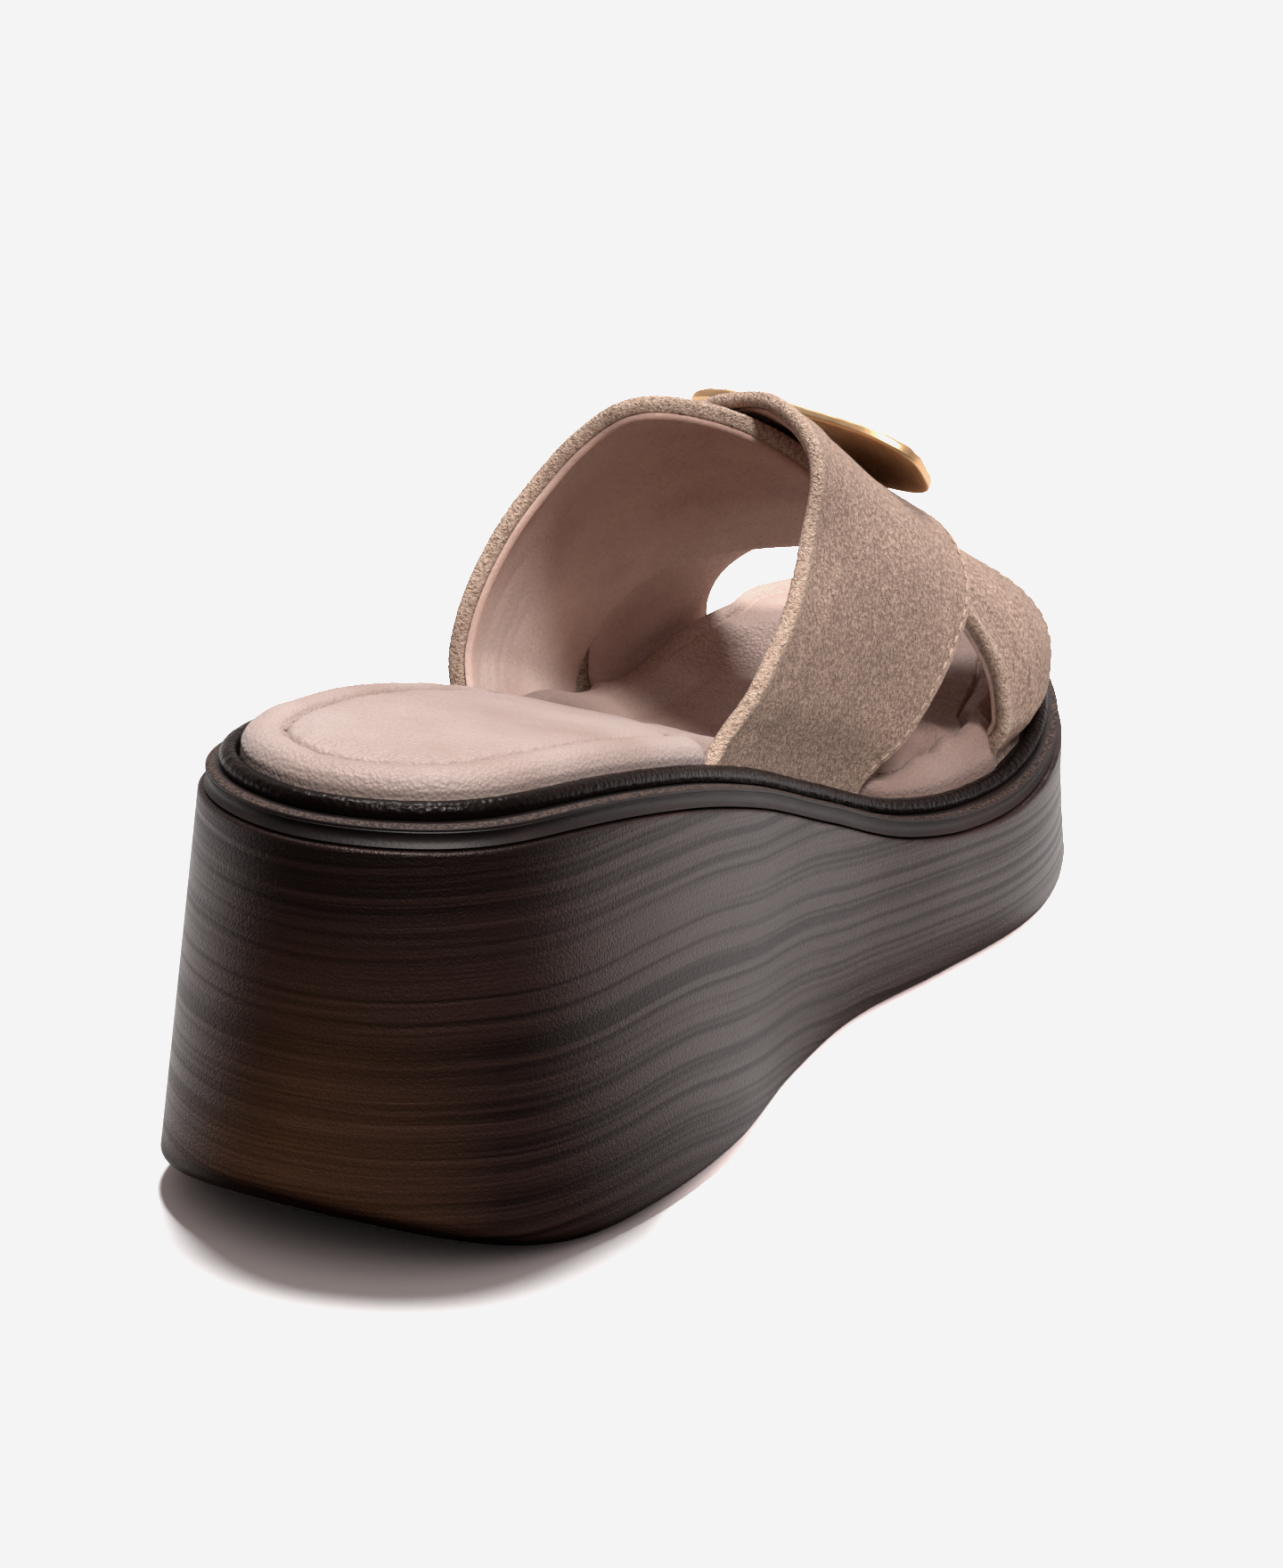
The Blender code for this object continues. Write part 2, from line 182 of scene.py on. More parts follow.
def closing_rings(ring, shares, level):
    """Rings that close an outline towards its long middle line, at the level given along it."""
    facing = np.roll(ring[::-1], 1, axis=0)
    middle = (ring + facing) / 2
    rings = []
    for share in shares:
        made = ring * (1 - share) + middle * share
        made[:, 2] = level(made[:, 0])
        rings.append(made)
    return rings


FOOT_SIDES = foot_plan(ring_angles(SOLE_POINTS))[:, 1]
CENTRE = np.array([SOLE_LENGTH / 2, (FOOT_SIDES.min() + FOOT_SIDES.max()) / 2, 0.0])


def mesh_points(mesh):
    flat = np.empty(len(mesh.vertices) * 3)
    mesh.vertices.foreach_get("co", flat)
    return flat.reshape(-1, 3)


def lay_sheet(name, rows, **marks):
    """Adds a grid and lays it on rows of points; marks are numbers kept on its points for the finish."""
    rows = np.asarray(rows, float)
    down, across = rows.shape[:2]
    bpy.ops.object.select_all(action="DESELECT")
    bpy.ops.mesh.primitive_grid_add(x_subdivisions=across - 1, y_subdivisions=down - 1, size=2)
    piece = bpy.context.object
    piece.name = name
    piece.data.name = name
    flat = mesh_points(piece.data)
    i = np.rint((flat[:, 0] + 1) / 2 * (across - 1)).astype(int)
    j = np.rint((flat[:, 1] + 1) / 2 * (down - 1)).astype(int)
    piece.data.vertices.foreach_set("co", ((rows[j, i] - CENTRE) * MM).ravel())
    for mark, values in marks.items():
        kept = piece.data.attributes.new(mark, "FLOAT", "POINT")
        kept.data.foreach_set("value", np.asarray(values, np.float32)[j, i])
    piece.data.update()
    return piece


def weld(piece):
    """Joins the seam, closes open ends, turns the faces outwards and smooths what isn't an edge."""
    bpy.ops.object.mode_set(mode="EDIT")
    bpy.ops.mesh.select_all(action="SELECT")
    bpy.ops.mesh.remove_doubles(threshold=WELD_DISTANCE)
    bpy.ops.mesh.fill_holes(sides=0)
    bpy.ops.mesh.normals_make_consistent(inside=False)
    bpy.ops.object.mode_set(mode="OBJECT")
    bpy.ops.object.shade_smooth_by_angle(angle=SMOOTH_ANGLE)
    return piece


def lay_rings(name, rings, **marks):
    """Closed rings laid as one skin; marks are numbers, one for each ring."""
    across = len(rings[0]) + 1
    spread = {mark: np.repeat(np.reshape(values, (-1, 1)), across, axis=1)
              for mark, values in marks.items()}
    return weld(lay_sheet(name, [np.vstack([ring, ring[:1]]) for ring in rings], **spread))


def node(tree, kind, inputs, output=0, **settings):
    """Adds a node, sets or links its inputs, and returns one of its outputs."""
    made = tree.nodes.new("ShaderNode" + kind)
    for setting, value in settings.items():
        setattr(made, setting, value)
    for socket, value in inputs.items():
        if isinstance(value, bpy.types.NodeSocket):
            tree.links.new(value, made.inputs[socket])
        else:
            made.inputs[socket].default_value = value
    return made.outputs[output]


def colour_of(value):
    """A number as a grey, or three numbers as a colour, made opaque; a node's output stays as it is."""
    if isinstance(value, bpy.types.NodeSocket):
        return value
    return (*np.broadcast_to(value, 3).tolist(), 1.0)


def ramp(tree, source, *stops):
    """Colour ramp from (place, colour) stops."""
    made = tree.nodes.new("ShaderNodeValToRGB")
    tree.links.new(source, made.inputs["Fac"])
    elements = made.color_ramp.elements
    while len(elements) < len(stops):
        elements.new(0.5)
    for element, (place, colour) in zip(elements, stops):
        element.position = place
        element.color = colour_of(colour)
    return made.outputs["Color"]


def speckle(tree, place, scale, detail=2.0, rough=0.5):
    """Noise over the piece's own coordinates, in cycles per metre, one for all axes or one for each."""
    spread = node(tree, "Mapping", {"Vector": place, "Scale": tuple(np.broadcast_to(scale, 3))})
    return node(tree, "TexNoise", {"Vector": spread, "Scale": 1.0, "Detail": detail, "Roughness": rough})


def mix(tree, share, first, second, blend="MIX"):
    inputs = {"Fac": share, "Color1": colour_of(first), "Color2": colour_of(second)}
    return node(tree, "MixRGB", inputs, blend_type=blend)


def shade(tree, share, colour, painted_tone):
    return mix(tree, share, colour, painted_tone, "MULTIPLY")


def maths(tree, operation, *values):
    return node(tree, "Math", dict(enumerate(values)), operation=operation)


def between(tree, value, start, end, low=0.0, high=1.0, **settings):
    """Goes from low to high while the value goes from start to end."""
    inputs = {"Value": value, "From Min": start, "From Max": end, "To Min": low, "To Max": high}
    return node(tree, "MapRange", inputs, **settings)


def axes(tree, place):
    """The place along, across and up, each as an output of its own."""
    return node(tree, "SeparateXYZ", {"Vector": place}).node.outputs


def mark(tree, name):
    """Number kept on the piece's points under this name."""
    return node(tree, "Attribute", {}, "Fac", attribute_name=name)


def relief(tree, height, strength, distance):
    return node(tree, "Bump", {"Height": height, "Strength": strength, "Distance": distance})


def new_finish(name, **sockets):
    """Material with plain values set on its shader; returns it, its tree and its piece's own coordinates."""
    made = bpy.data.materials.new(name)
    made.use_nodes = True
    shader = made.node_tree.nodes["Principled BSDF"]
    for socket, value in sockets.items():
        shader.inputs[socket.replace("_", " ")].default_value = (
            colour_of(value) if isinstance(value, tuple) else value)
    return made, made.node_tree, node(made.node_tree, "TexCoord", {}, "Object")


def wire(made, **outputs):
    """Links outputs to the sockets of the material's shader, and returns the material."""
    shader = made.node_tree.nodes["Principled BSDF"]
    for socket, output in outputs.items():
        made.node_tree.links.new(output, shader.inputs[socket.replace("_", " ")])
    return made


def wedge_rings():
    angles = ring_angles(SOLE_POINTS)
    flat_edge = foot_ring(FOOT_EDGE_INSET, 0.0, angles)
    rings = closing_rings(flat_edge, np.linspace(1.0, 0.1, 7), foot_height)
    for turn in np.linspace(0, pi / 2, EDGE_RINGS):
        rise = FOOT_EDGE_HEIGHT * (1 - cos(turn))
        rings.append(foot_ring(FOOT_EDGE_INSET * (1 - sin(turn)), rise, angles))
    wall_foot = rings[-1]
    wall_top = lip_ring(-WALL_STEP, -WELT_HEIGHT - GROOVE_HEIGHT, angles)
    for part in np.linspace(0, 1, WALL_RINGS)[1:]:
        rings.append(wall_foot * (1 - part) + wall_top * part)
    for turn in np.linspace(0, pi / 2, GROOVE_RINGS)[1:]:
        set_in = GROOVE_DEPTH * (1 - cos(turn)) - WALL_STEP
        rise = (GROOVE_HEIGHT - SEAT_GAP) * sin(turn) - WELT_HEIGHT - GROOVE_HEIGHT
        rings.append(lip_ring(set_in, rise, angles))
    rings.append(lip_ring(WELT_WIDTH + SEAT_GAP, -WELT_HEIGHT - SEAT_GAP, angles))
    top_edge = lip_ring(WELT_WIDTH + SEAT_GAP, 0.0, angles)
    rings.append(top_edge)
    return rings + closing_rings(top_edge, (0.4, 0.8, 1.0), lip_height)


def wood_finish():
    """Level strata of dark stain, bent a little, with pores, lighter and warmer in patches low on the back of
    the heel.
    """
    made, tree, place = new_finish("stained_wood", IOR=1.45, Specular_Tint=(1.0, 0.78, 0.73))
    along, across, up = axes(tree, place)
    drift = speckle(tree, place, (22.0, 22.0, 9.0), detail=1.0)
    sink = between(tree, along, -0.09, 0.05, 0.0, STRATA_SINK, interpolation_type="SMOOTHSTEP")
    level = maths(tree, "ADD", maths(tree, "MULTIPLY_ADD", drift, STRATA_DRIFT, up), sink)
    bent = node(tree, "CombineXYZ", {"X": along, "Y": across, "Z": level})
    strata = speckle(tree, bent, (5.0, 6.0, 900.0), detail=1.5, rough=0.4)
    fibre = speckle(tree, bent, (28.0, 34.0, 1500.0), detail=3.0, rough=0.6)
    speck = speckle(tree, place, 2600.0, detail=1.0)
    patch = speckle(tree, place, (16.0, 16.0, 34.0))
    low = between(tree, up, 0.055, 0.004)
    back = between(tree, maths(tree, "MULTIPLY_ADD", across, -0.6, along), -0.09, -0.122)
    warm = maths(tree, "MULTIPLY", maths(tree, "MULTIPLY", low, back), patch)
    stain = ramp(tree, strata, (0.40, WOOD_DARK), (0.48, WOOD_MID), (0.60, WOOD_LIGHT))
    stain = mix(tree, warm, stain, WOOD_WARM)
    stain = shade(tree, 0.8, stain, ramp(tree, fibre, (0.3, 0.62), (0.7, 1.25)))
    stain = shade(tree, 0.6, stain, ramp(tree, speck, (0.35, 0.82), (0.68, 1.2)))
    gloss = ramp(tree, strata, (0.40, 0.40), (0.56, 0.33))
    shine = ramp(tree, strata, (0.40, 0.38), (0.47, 0.51), (0.60, 0.58))
    grain = maths(tree, "ADD", maths(tree, "ADD", strata, fibre), speck)
    return wire(made, Base_Color=stain, Roughness=gloss, Specular_IOR_Level=shine,
                Normal=relief(tree, grain, 0.28, 0.0005))


wedge = lay_rings("wedge_block", wedge_rings())
wedge.data.materials.append(wood_finish())
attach(wedge, "root")
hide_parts("wedge_sole")

# Welt: a smooth dark strip set in the rebate round the top of the wedge.
# Its face is a shallow cove under a fine bead, and its flat top is the ledge that the rand lies on.
ProfilePoint = namedtuple("ProfilePoint", "inset height")
COVE_DEPTH = 0.55
COVE_FOOT = -0.15
COVE_CORNER = 0.1
COVE_HEIGHT = 2.35
COVE_BACK = 0.8
BEAD_INSET = 0.32
BEAD_LEVEL = -0.55
BEAD_ROUND = 0.34
LEDGE_EDGE = 0.5
LEDGE_DROP = 0.1
LEDGE_ROUND = 0.4
LEDGE_FLAT = 1.6
ROUGH_FROM = 0.1
ROUGH_TO = 1.3
ROUGH_ABOVE = -0.5
WELT_POINTS = 320
WELT_DARK = (0.006, 0.0045, 0.0045)
WELT_BROWN = (0.022, 0.013, 0.011)
BEAD_DARK = (0.010, 0.006, 0.005)
BEAD_BROWN = (0.075, 0.045, 0.034)


def welt_profile():
    """From the foot of the cove up over the bead to the ledge, then down the hidden back."""
    rows = [(WELT_WIDTH, -WELT_HEIGHT), (COVE_BACK, -WELT_HEIGHT), (COVE_FOOT + COVE_CORNER, -WELT_HEIGHT)]
    for part in np.linspace(0, 1, 11):
        hollow = COVE_DEPTH * sin(pi * part)
        rows.append((COVE_FOOT * (1 - part) + hollow, -WELT_HEIGHT + COVE_CORNER + COVE_HEIGHT * part))
    for turn in np.linspace(-0.9, 1.2, 8):
        rows.append((BEAD_INSET - BEAD_ROUND * cos(turn), BEAD_LEVEL + BEAD_ROUND * sin(turn)))
    rows += [(LEDGE_EDGE, -LEDGE_DROP), (LEDGE_EDGE + LEDGE_ROUND, 0.0), (LEDGE_FLAT, 0.0), (WELT_WIDTH, 0.0)]
    return table(ProfilePoint, rows)


def rubber_finish():
    """Dark, smooth and a little glossy, rubbed brown in places, with a rough bead."""
    made, tree, place = new_finish("welt_rubber", Specular_IOR_Level=0.38, Specular_Tint=(1.0, 0.9, 0.89))
    rub = speckle(tree, place, (60.0, 60.0, 90.0), detail=4.0)
    grain = speckle(tree, place, 1900.0)
    bead = mark(tree, "bead")
    smooth = ramp(tree, rub, (0.45, WELT_DARK), (0.75, WELT_BROWN))
    rough = ramp(tree, grain, (0.42, BEAD_DARK), (0.62, BEAD_BROWN))
    gloss = ramp(tree, rub, (0.3, 0.44), (0.75, 0.56))
    depth = between(tree, bead, 0.0, 1.0, 0.00006, 0.0004)
    return wire(made, Base_Color=mix(tree, bead, smooth, rough), Roughness=mix(tree, bead, gloss, 0.75),
                Normal=relief(tree, grain, 0.8, depth))


welt_rows = welt_profile()
welt_bead = [float(ROUGH_FROM < row.inset < ROUGH_TO and row.height > ROUGH_ABOVE) for row in welt_rows]
welt_rings = [lip_ring(row.inset, row.height, ring_angles(WELT_POINTS)) for row in welt_rows]
welt = lay_rings("welt_strip", welt_rings + welt_rings[:1], bead=welt_bead + welt_bead[:1])
welt.data.materials.append(rubber_finish())
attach(welt, "root")
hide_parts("welt")

# Rand: a roll of dark glossy leather that lies on the welt's ledge round the footbed.
# It is stretched round the edge, so its skin has fine wrinkles across the roll.
RAND_PROFILE = table(ProfilePoint, (
    (2.2, SEAT_GAP), (1.9, 1.3), (2.4, 2.3), (3.3, 2.7), (4.2, 2.5), (4.55, 1.7), (4.7, SEAT_GAP),
))
RAND_STEPS = 25
RAND_POINTS = 480
RAND_SMOOTH_FOOT = 0.2
RAND_WRINKLE = 0.09
RAND_RIPPLES = ((1.0, 0.55), (0.6, 1.3))
RAND_DARK = (0.0030, 0.0017, 0.0014)
RAND_BROWN = (0.0070, 0.0038, 0.0030)


def smooth_profile(rows, steps):
    """Insets and heights read off a smooth curve through a table's rows."""
    knots = np.arange(len(rows))
    at = np.linspace(0, len(rows) - 1, steps)
    return spline(knots, column(rows, "inset"), at), spline(knots, column(rows, "height"), at)


def ripple(point, waves):
    """Sum of smooth noises at a point, each with its height and its cycles per millimetre."""
    return sum(height * noise.noise(Vector(point) * pitch) for height, pitch in waves)


def rand_rings():
    angles = ring_angles(RAND_POINTS)
    insets, heights = smooth_profile(RAND_PROFILE, RAND_STEPS)
    rings = []
    for set_in, rise in zip(insets, heights):
        ring = lip_ring(set_in, rise, angles)
        if rise > SEAT_GAP + RAND_SMOOTH_FOOT:
            for point in ring:
                point[2] += RAND_WRINKLE * ripple(point, RAND_RIPPLES)
        rings.append(ring)
    return rings + rings[:1]


def glossy_leather_finish():
    """Dark polished leather: fine cracked grain under a thin gloss."""
    tint = (1.0, 0.86, 0.84)
    made, tree, place = new_finish("glossy_leather", IOR=1.45, Specular_IOR_Level=0.13, Specular_Tint=tint)
    cells = node(tree, "TexVoronoi", {"Vector": place, "Scale": 1100.0})
    worn = speckle(tree, place, 120.0, detail=4.0)
    creased = speckle(tree, place, 420.0, detail=4.0, rough=0.65)
    return wire(made, Base_Color=ramp(tree, worn, (0.45, RAND_DARK), (0.78, RAND_BROWN)),
                Roughness=ramp(tree, worn, (0.3, 0.24), (0.7, 0.38)),
                Normal=relief(tree, maths(tree, "ADD", cells, creased), 0.35, 0.0004))


rand = lay_rings("rand_roll", rand_rings())
rand.data.materials.append(glossy_leather_finish())
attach(rand, "root")
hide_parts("rand")

# Insole: foam under pebble-grained nude leather, with a plump rim round a sunk panel.
# A seam sinks in between them, and the leather is crumpled where a strap's foot presses it in.
InsoleRing = namedtuple("InsoleRing", "inset height squeeze plump swell")
INSOLE_RINGS = table(InsoleRing, (
    (6.6, SEAT_GAP, 1.0, 0.0, 0.0),
    (5.2, 1.2, 1.0, 0.0, 0.1),
    (5.1, 2.6, 1.0, 0.4, 0.5),
    (5.2, 3.8, 1.0, 1.5, 1.4),
    (6.2, 5.3, 1.0, 2.9, 2.4),
    (8.2, 6.2, 0.85, 3.5, 3.2),
    (10.2, 6.0, 0.8, 2.8, 3.7),
    (11.6, 5.35, 0.75, 1.0, 4.3),
    (12.9, 5.8, 0.6, 0.4, 3.7),
    (16.0, 6.3, 0.3, 0.1, 2.3),
    (21.0, 6.5, 0.0, 0.0, 0.0),
))
SWELL_FROM = 112.0
SWELL_TO = 140.0
PLUMP_FROM = {-1: 150.0, 1: 135.0}
PLUMP_TO = {-1: 186.0, 1: 172.0}
PANEL_END = 198.0
PANEL_END_BEND = 9.0
PANEL_MIDDLE = 2.0
PANEL_HALF = 26.0
PAD_RISE = 3.3
PAD_SLOPE = 11.0
SEAM_ROW = 7
INSOLE_STEPS = 81
INSOLE_POINTS = 440
STRAP_SLOT = 8.8
StrapFoot = namedtuple("StrapFoot", "side rear front reach fade")
STRAP_FEET = table(StrapFoot, (
    (-1, 87.0, 147.0, 5.5, 5.0),
    (-1, 194.0, 215.0, 5.0, 5.0),
    (1, 173.0, 214.0, 10.0, 9.0),
    (1, 100.0, 165.0, 6.0, 6.0),
))
SEAM_WIDTH = 0.5
SEAM_DEPTH = 0.6
STITCH_PITCH = 4.4
PUCKER = 0.16
PUCKER_WIDTH = 1.5
TOP_FROM = 0.4
INSOLE_RIPPLES = ((0.22, 0.09), (0.07, 0.35))
# Creases of the leather: start and end along and across, how wide, and how deep (a ridge is below zero)
Crease = namedtuple("Crease", "along across end_along end_across width depth")
INSOLE_CREASES = table(Crease, (
    (186, 27.5, 196, 20, 2.0, 0.8),
    (194, 21, 198, 8, 2.2, 0.8),
    (92, -11, 112, -3, 1.8, 0.30),
    (152, -25, 184, -22, 2.8, 2.3),
    (160, -21, 176, -13, 2.0, 0.8),
    (167, -30, 172, -20, 1.3, -0.9),
    (173, -31, 177, -21, 1.2, 0.9),
    (177, -31, 182, -20, 1.3, -1.1),
    (182, -30, 187, -19, 1.2, 1.0),
    (187, -28, 191, -18, 1.2, -0.8),
))
NUDE = (0.343, 0.259, 0.230)
NUDE_DEEP = (0.305, 0.221, 0.191)
NUDE_PALE = (0.385, 0.304, 0.274)
# Painted shade darkens the insole's medial front, and painted light makes its lateral front paler and pinker.
INSOLE_FRONT_PAINTED_SHADE = (0.80, 0.70, 0.66)
INSOLE_FRONT_PAINTED_LIGHT = (1.36, 1.28, 1.22)


def strap_squeeze(along, side):
    """How far the insole is pressed in beside a strap's foot: 1 beside it, 0 well away from it."""
    pressed = np.zeros_like(along)
    for foot in STRAP_FEET:
        within = np.minimum(along - foot.rear, foot.front - along) + foot.reach
        soft = soft_step(within / foot.fade)
        pressed = np.where(side == foot.side, np.maximum(pressed, soft), pressed)
    return pressed


def crease_depth(points, crease):
    """Depth of one crease at points: a soft trough along its line that runs out at both ends."""
    start = np.array([crease.along, crease.across])
    line = np.array([crease.end_along, crease.end_across]) - start
    reach = (points[:, :2] - start) @ line / (line @ line)
    foot = start + np.clip(reach, 0, 1)[:, None] * line
    away = np.linalg.norm(points[:, :2] - foot, axis=1)
    ends = np.clip(1.25 - np.abs(2 * reach - 1), 0, 1)
    return crease.depth * np.exp(-(away / crease.width) ** 2) * ends


def insole_swell(along, side):
    """1 on the lateral side of the front, where the rim has no seam, and 0 elsewhere."""
    return soft_step((along - SWELL_FROM) / (SWELL_TO - SWELL_FROM)) * (side > 0)


def insole_ring(row, angles):
    lip = lip_plan(angles)
    side = np.where(angles < pi, -1, 1)
    pressed = strap_squeeze(lip[:, 0], side)
    room = STRAP_SLOT + SEAT_GAP - INSOLE_RINGS[1].inset
    plump_from = np.where(side < 0, PLUMP_FROM[-1], PLUMP_FROM[1])
    plump_to = np.where(side < 0, PLUMP_TO[-1], PLUMP_TO[1])
    plump = row.plump * soft_step((lip[:, 0] - plump_from) / (plump_to - plump_from))
    swell = insole_swell(lip[:, 0], side)
    plump = plump * (1 - swell) + row.swell * swell
    ring = lip_ring(row.inset + room * row.squeeze * pressed, row.height + plump, angles)
    if row.inset > INSOLE_RINGS[SEAM_ROW - 2].inset:
        ring[:, 2] += pad_step(ring) * (PAD_RISE - plump)
    return ring


def panel_end(across):
    """Where the panel's round front end lies along the shoe."""
    return PANEL_END - PANEL_END_BEND * ((across - PANEL_MIDDLE) / PANEL_HALF) ** 4


def pad_step(points):
    """0 on the panel, rising to 1 on the pad in front of it."""
    return soft_step((points[:, 0] - panel_end(points[:, 1])) / PAD_SLOPE)


def walk(line):
    """Distance walked along a line to each of its points."""
    steps = np.linalg.norm(np.diff(line, axis=0), axis=1)
    return np.concatenate([[0.0], np.cumsum(steps)])


def above_lip(rise):
    return lambda along: lip_height(along) + rise


def insole_rings():
    angles = ring_angles(INSOLE_POINTS)
    knots = np.arange(len(INSOLE_RINGS))
    at = np.linspace(0, len(INSOLE_RINGS) - 1, INSOLE_STEPS)
    read = [spline(knots, column(INSOLE_RINGS, name), at) for name in InsoleRing._fields]
    seam = INSOLE_RINGS[SEAM_ROW]
    seam_line = insole_ring(seam, angles)
    walked = walk(np.vstack([seam_line, seam_line[:1]]))
    waves = round(walked[-1] / STITCH_PITCH)
    sewn = 1 - insole_swell(seam_line[:, 0], np.where(angles < pi, -1, 1))
    pucker = PUCKER * sewn * np.cos(2 * pi * waves * walked[:-1] / walked[-1])
    rings = []
    for place, row in zip(at, map(InsoleRing._make, zip(*read))):
        ring = insole_ring(row, angles)
        from_seam = row.inset - seam.inset if place > SEAM_ROW - 2 else inf
        ring[:, 2] += pucker * exp(-(from_seam / PUCKER_WIDTH) ** 2)
        ring[:, 2] -= SEAM_DEPTH * sewn * exp(-(from_seam / SEAM_WIDTH) ** 2)
        rings.append(ring)
    for ring in closing_rings(rings[-1], np.linspace(0.06, 1.0, 18), above_lip(INSOLE_RINGS[-1].height)):
        ring[:, 2] += pad_step(ring) * PAD_RISE
        rings.append(ring)
    for ring in rings[int(INSOLE_STEPS * TOP_FROM):]:
        for crease in INSOLE_CREASES:
            ring[:, 2] -= crease_depth(ring, crease)
        for point in ring:
            point[2] += ripple(point, INSOLE_RIPPLES)
    return closing_rings(rings[0], (1.0, 0.5), above_lip(SEAT_GAP)) + rings


def paint_insole_front_light_and_shade(tree, place, colour):
    """Painted shade deepens the medial front, where it is crumpled, and painted light leaves the lateral
    front pale and pink.
    """
    along, across, _ = axes(tree, place)
    painted_tone = mix(tree, between(tree, across, -0.02, -0.006), INSOLE_FRONT_PAINTED_SHADE, INSOLE_FRONT_PAINTED_LIGHT)
    painted_tone = mix(tree, between(tree, along, -0.005, 0.03), 1.0, painted_tone)
    return shade(tree, 1.0, colour, painted_tone)


def pebble_leather_finish(name, base, deep, pale, grain_size, grain_height, tint):
    """Soft leather: small pebbles parted by fine creases, with a faint mottle; the creases are painted darker
    as shade and the pebble tops a little lighter as highlight, and tint adds painted light and shade by
    place.
    """
    made, tree, place = new_finish(name, IOR=1.45, Sheen_Weight=0.06)
    inputs = {"Vector": place, "Scale": grain_size, "Smoothness": 0.6}
    pebbles = node(tree, "TexVoronoi", inputs, feature="SMOOTH_F1")
    skin = speckle(tree, place, 2400.0)
    mottle = speckle(tree, place, 38.0, detail=4.0)
    colour = ramp(tree, mottle, (0.32, deep), (0.5, base), (0.7, pale))
    # Painted shade in the creases between pebbles, and a little painted highlight on their tops.
    colour = shade(tree, 0.7, colour, ramp(tree, pebbles, (0.1, 1.06), (0.75, 0.86)))
    height = maths(tree, "SUBTRACT", maths(tree, "MULTIPLY", skin, 0.25), pebbles)
    return wire(made, Base_Color=tint(tree, place, colour),
                Roughness=ramp(tree, pebbles, (0.1, 0.46), (0.8, 0.62)),
                Normal=relief(tree, height, grain_height, 0.0004))


insole = lay_rings("insole_pad", insole_rings())
nude_leather = pebble_leather_finish("nude_leather", NUDE, NUDE_DEEP, NUDE_PALE, 1700.0, 0.42, paint_insole_front_light_and_shade)
insole.data.materials.append(nude_leather)
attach(insole, "root")
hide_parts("insole")

# Insole stitches: one short run of thread after another, sunk in the seam round the panel.
# Each is a small capsule of twisted thread, a little darker and pinker than the leather.
STITCH_LENGTH = 3.2
STITCH_THICK = 0.62
STITCH_SINK = 0.12
STITCH_SIDES = 8
STITCH_RINGS = 7
SEWN_PAST_SWELL = 6.0
THREAD = (0.24, 0.15, 0.125)
THREAD_PALE = (0.33, 0.225, 0.19)


def new_stitch(length, thick):
    """One stitch lying along the shoe: a run of thread with round ends, at the middle of the frame."""
    turn = ring_angles(STITCH_SIDES)
    rings = []
    for tilt in np.linspace(0, pi, STITCH_RINGS):
        end = np.sign(round(cos(tilt), 6)) * (length - thick) / 2 + thick / 2 * cos(tilt)
        wide = thick / 2 * sin(tilt)
        rings.append(np.column_stack([np.full(STITCH_SIDES, end), wide * np.cos(turn), wide * np.sin(turn)]))
    return lay_rings("stitch", np.array(rings) + CENTRE)


def sew(name, places, forwards, ups, length, thick, finish):
    """Copies one stitch to each place, turned along the seam, and joins the row into one piece."""
    model = new_stitch(length, thick)
    row = []
    for place, forward, up in zip(places, forwards, ups):
        forward = Vector(forward).normalized()
        side = Vector(up).cross(forward).normalized()
        turn = Matrix((forward, side, forward.cross(side))).transposed().to_4x4()
        copy = model.copy()
        copy.data = model.data.copy()
        copy.data.transform(Matrix.Translation(Vector((place - CENTRE) * MM)) @ turn)
        bpy.context.scene.collection.objects.link(copy)
        row.append(copy)
    bpy.data.objects.remove(model)
    bpy.ops.object.select_all(action="DESELECT")
    for copy in row:
        copy.select_set(True)
    bpy.context.view_layer.objects.active = row[0]
    bpy.ops.object.join()
    row[0].name = name
    row[0].data.name = name
    row[0].data.materials.append(finish)
    return row[0]


def thread_finish(name, dark, pale):
    """Twisted thread: a fine uneven twist with a soft sheen."""
    made, tree, place = new_finish(name, Roughness=0.75, Sheen_Weight=0.2)
    twist = speckle(tree, place, 2200.0)
    return wire(made, Base_Color=ramp(tree, twist, (0.35, dark), (0.65, pale)),
                Normal=relief(tree, twist, 0.5, 0.0002))


def spaced(line, pitch):
    """Places and directions at an even pitch along a line of points."""
    walked = walk(line)
    count = round(walked[-1] / pitch)
    at = (np.arange(count) + 0.5) * walked[-1] / count
    read = lambda where: np.column_stack([np.interp(where, walked, line[:, k]) for k in range(3)])
    return read(at), read(at + pitch / 4) - read(at - pitch / 4)


seam_line = insole_ring(INSOLE_RINGS[SEAM_ROW], ring_angles(INSOLE_POINTS))
seam_line[:, 2] += STITCH_SINK - SEAM_DEPTH
on_lateral = ring_angles(INSOLE_POINTS) > pi
sewn = seam_line[:, 0] < np.where(on_lateral, SWELL_FROM + SEWN_PAST_SWELL, panel_end(seam_line[:, 1]))
seam_line = np.vstack([seam_line[on_lateral & sewn], seam_line[~on_lateral & sewn]])
seam_places, seam_forwards = spaced(seam_line, STITCH_PITCH)
insole_thread = thread_finish("insole_thread", THREAD, THREAD_PALE)
insole_stitches = sew("insole_stitches", seam_places, seam_forwards, [(0, 0, 1)] * len(seam_places),
                      STITCH_LENGTH, STITCH_THICK, insole_thread)
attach(insole_stitches, "root")

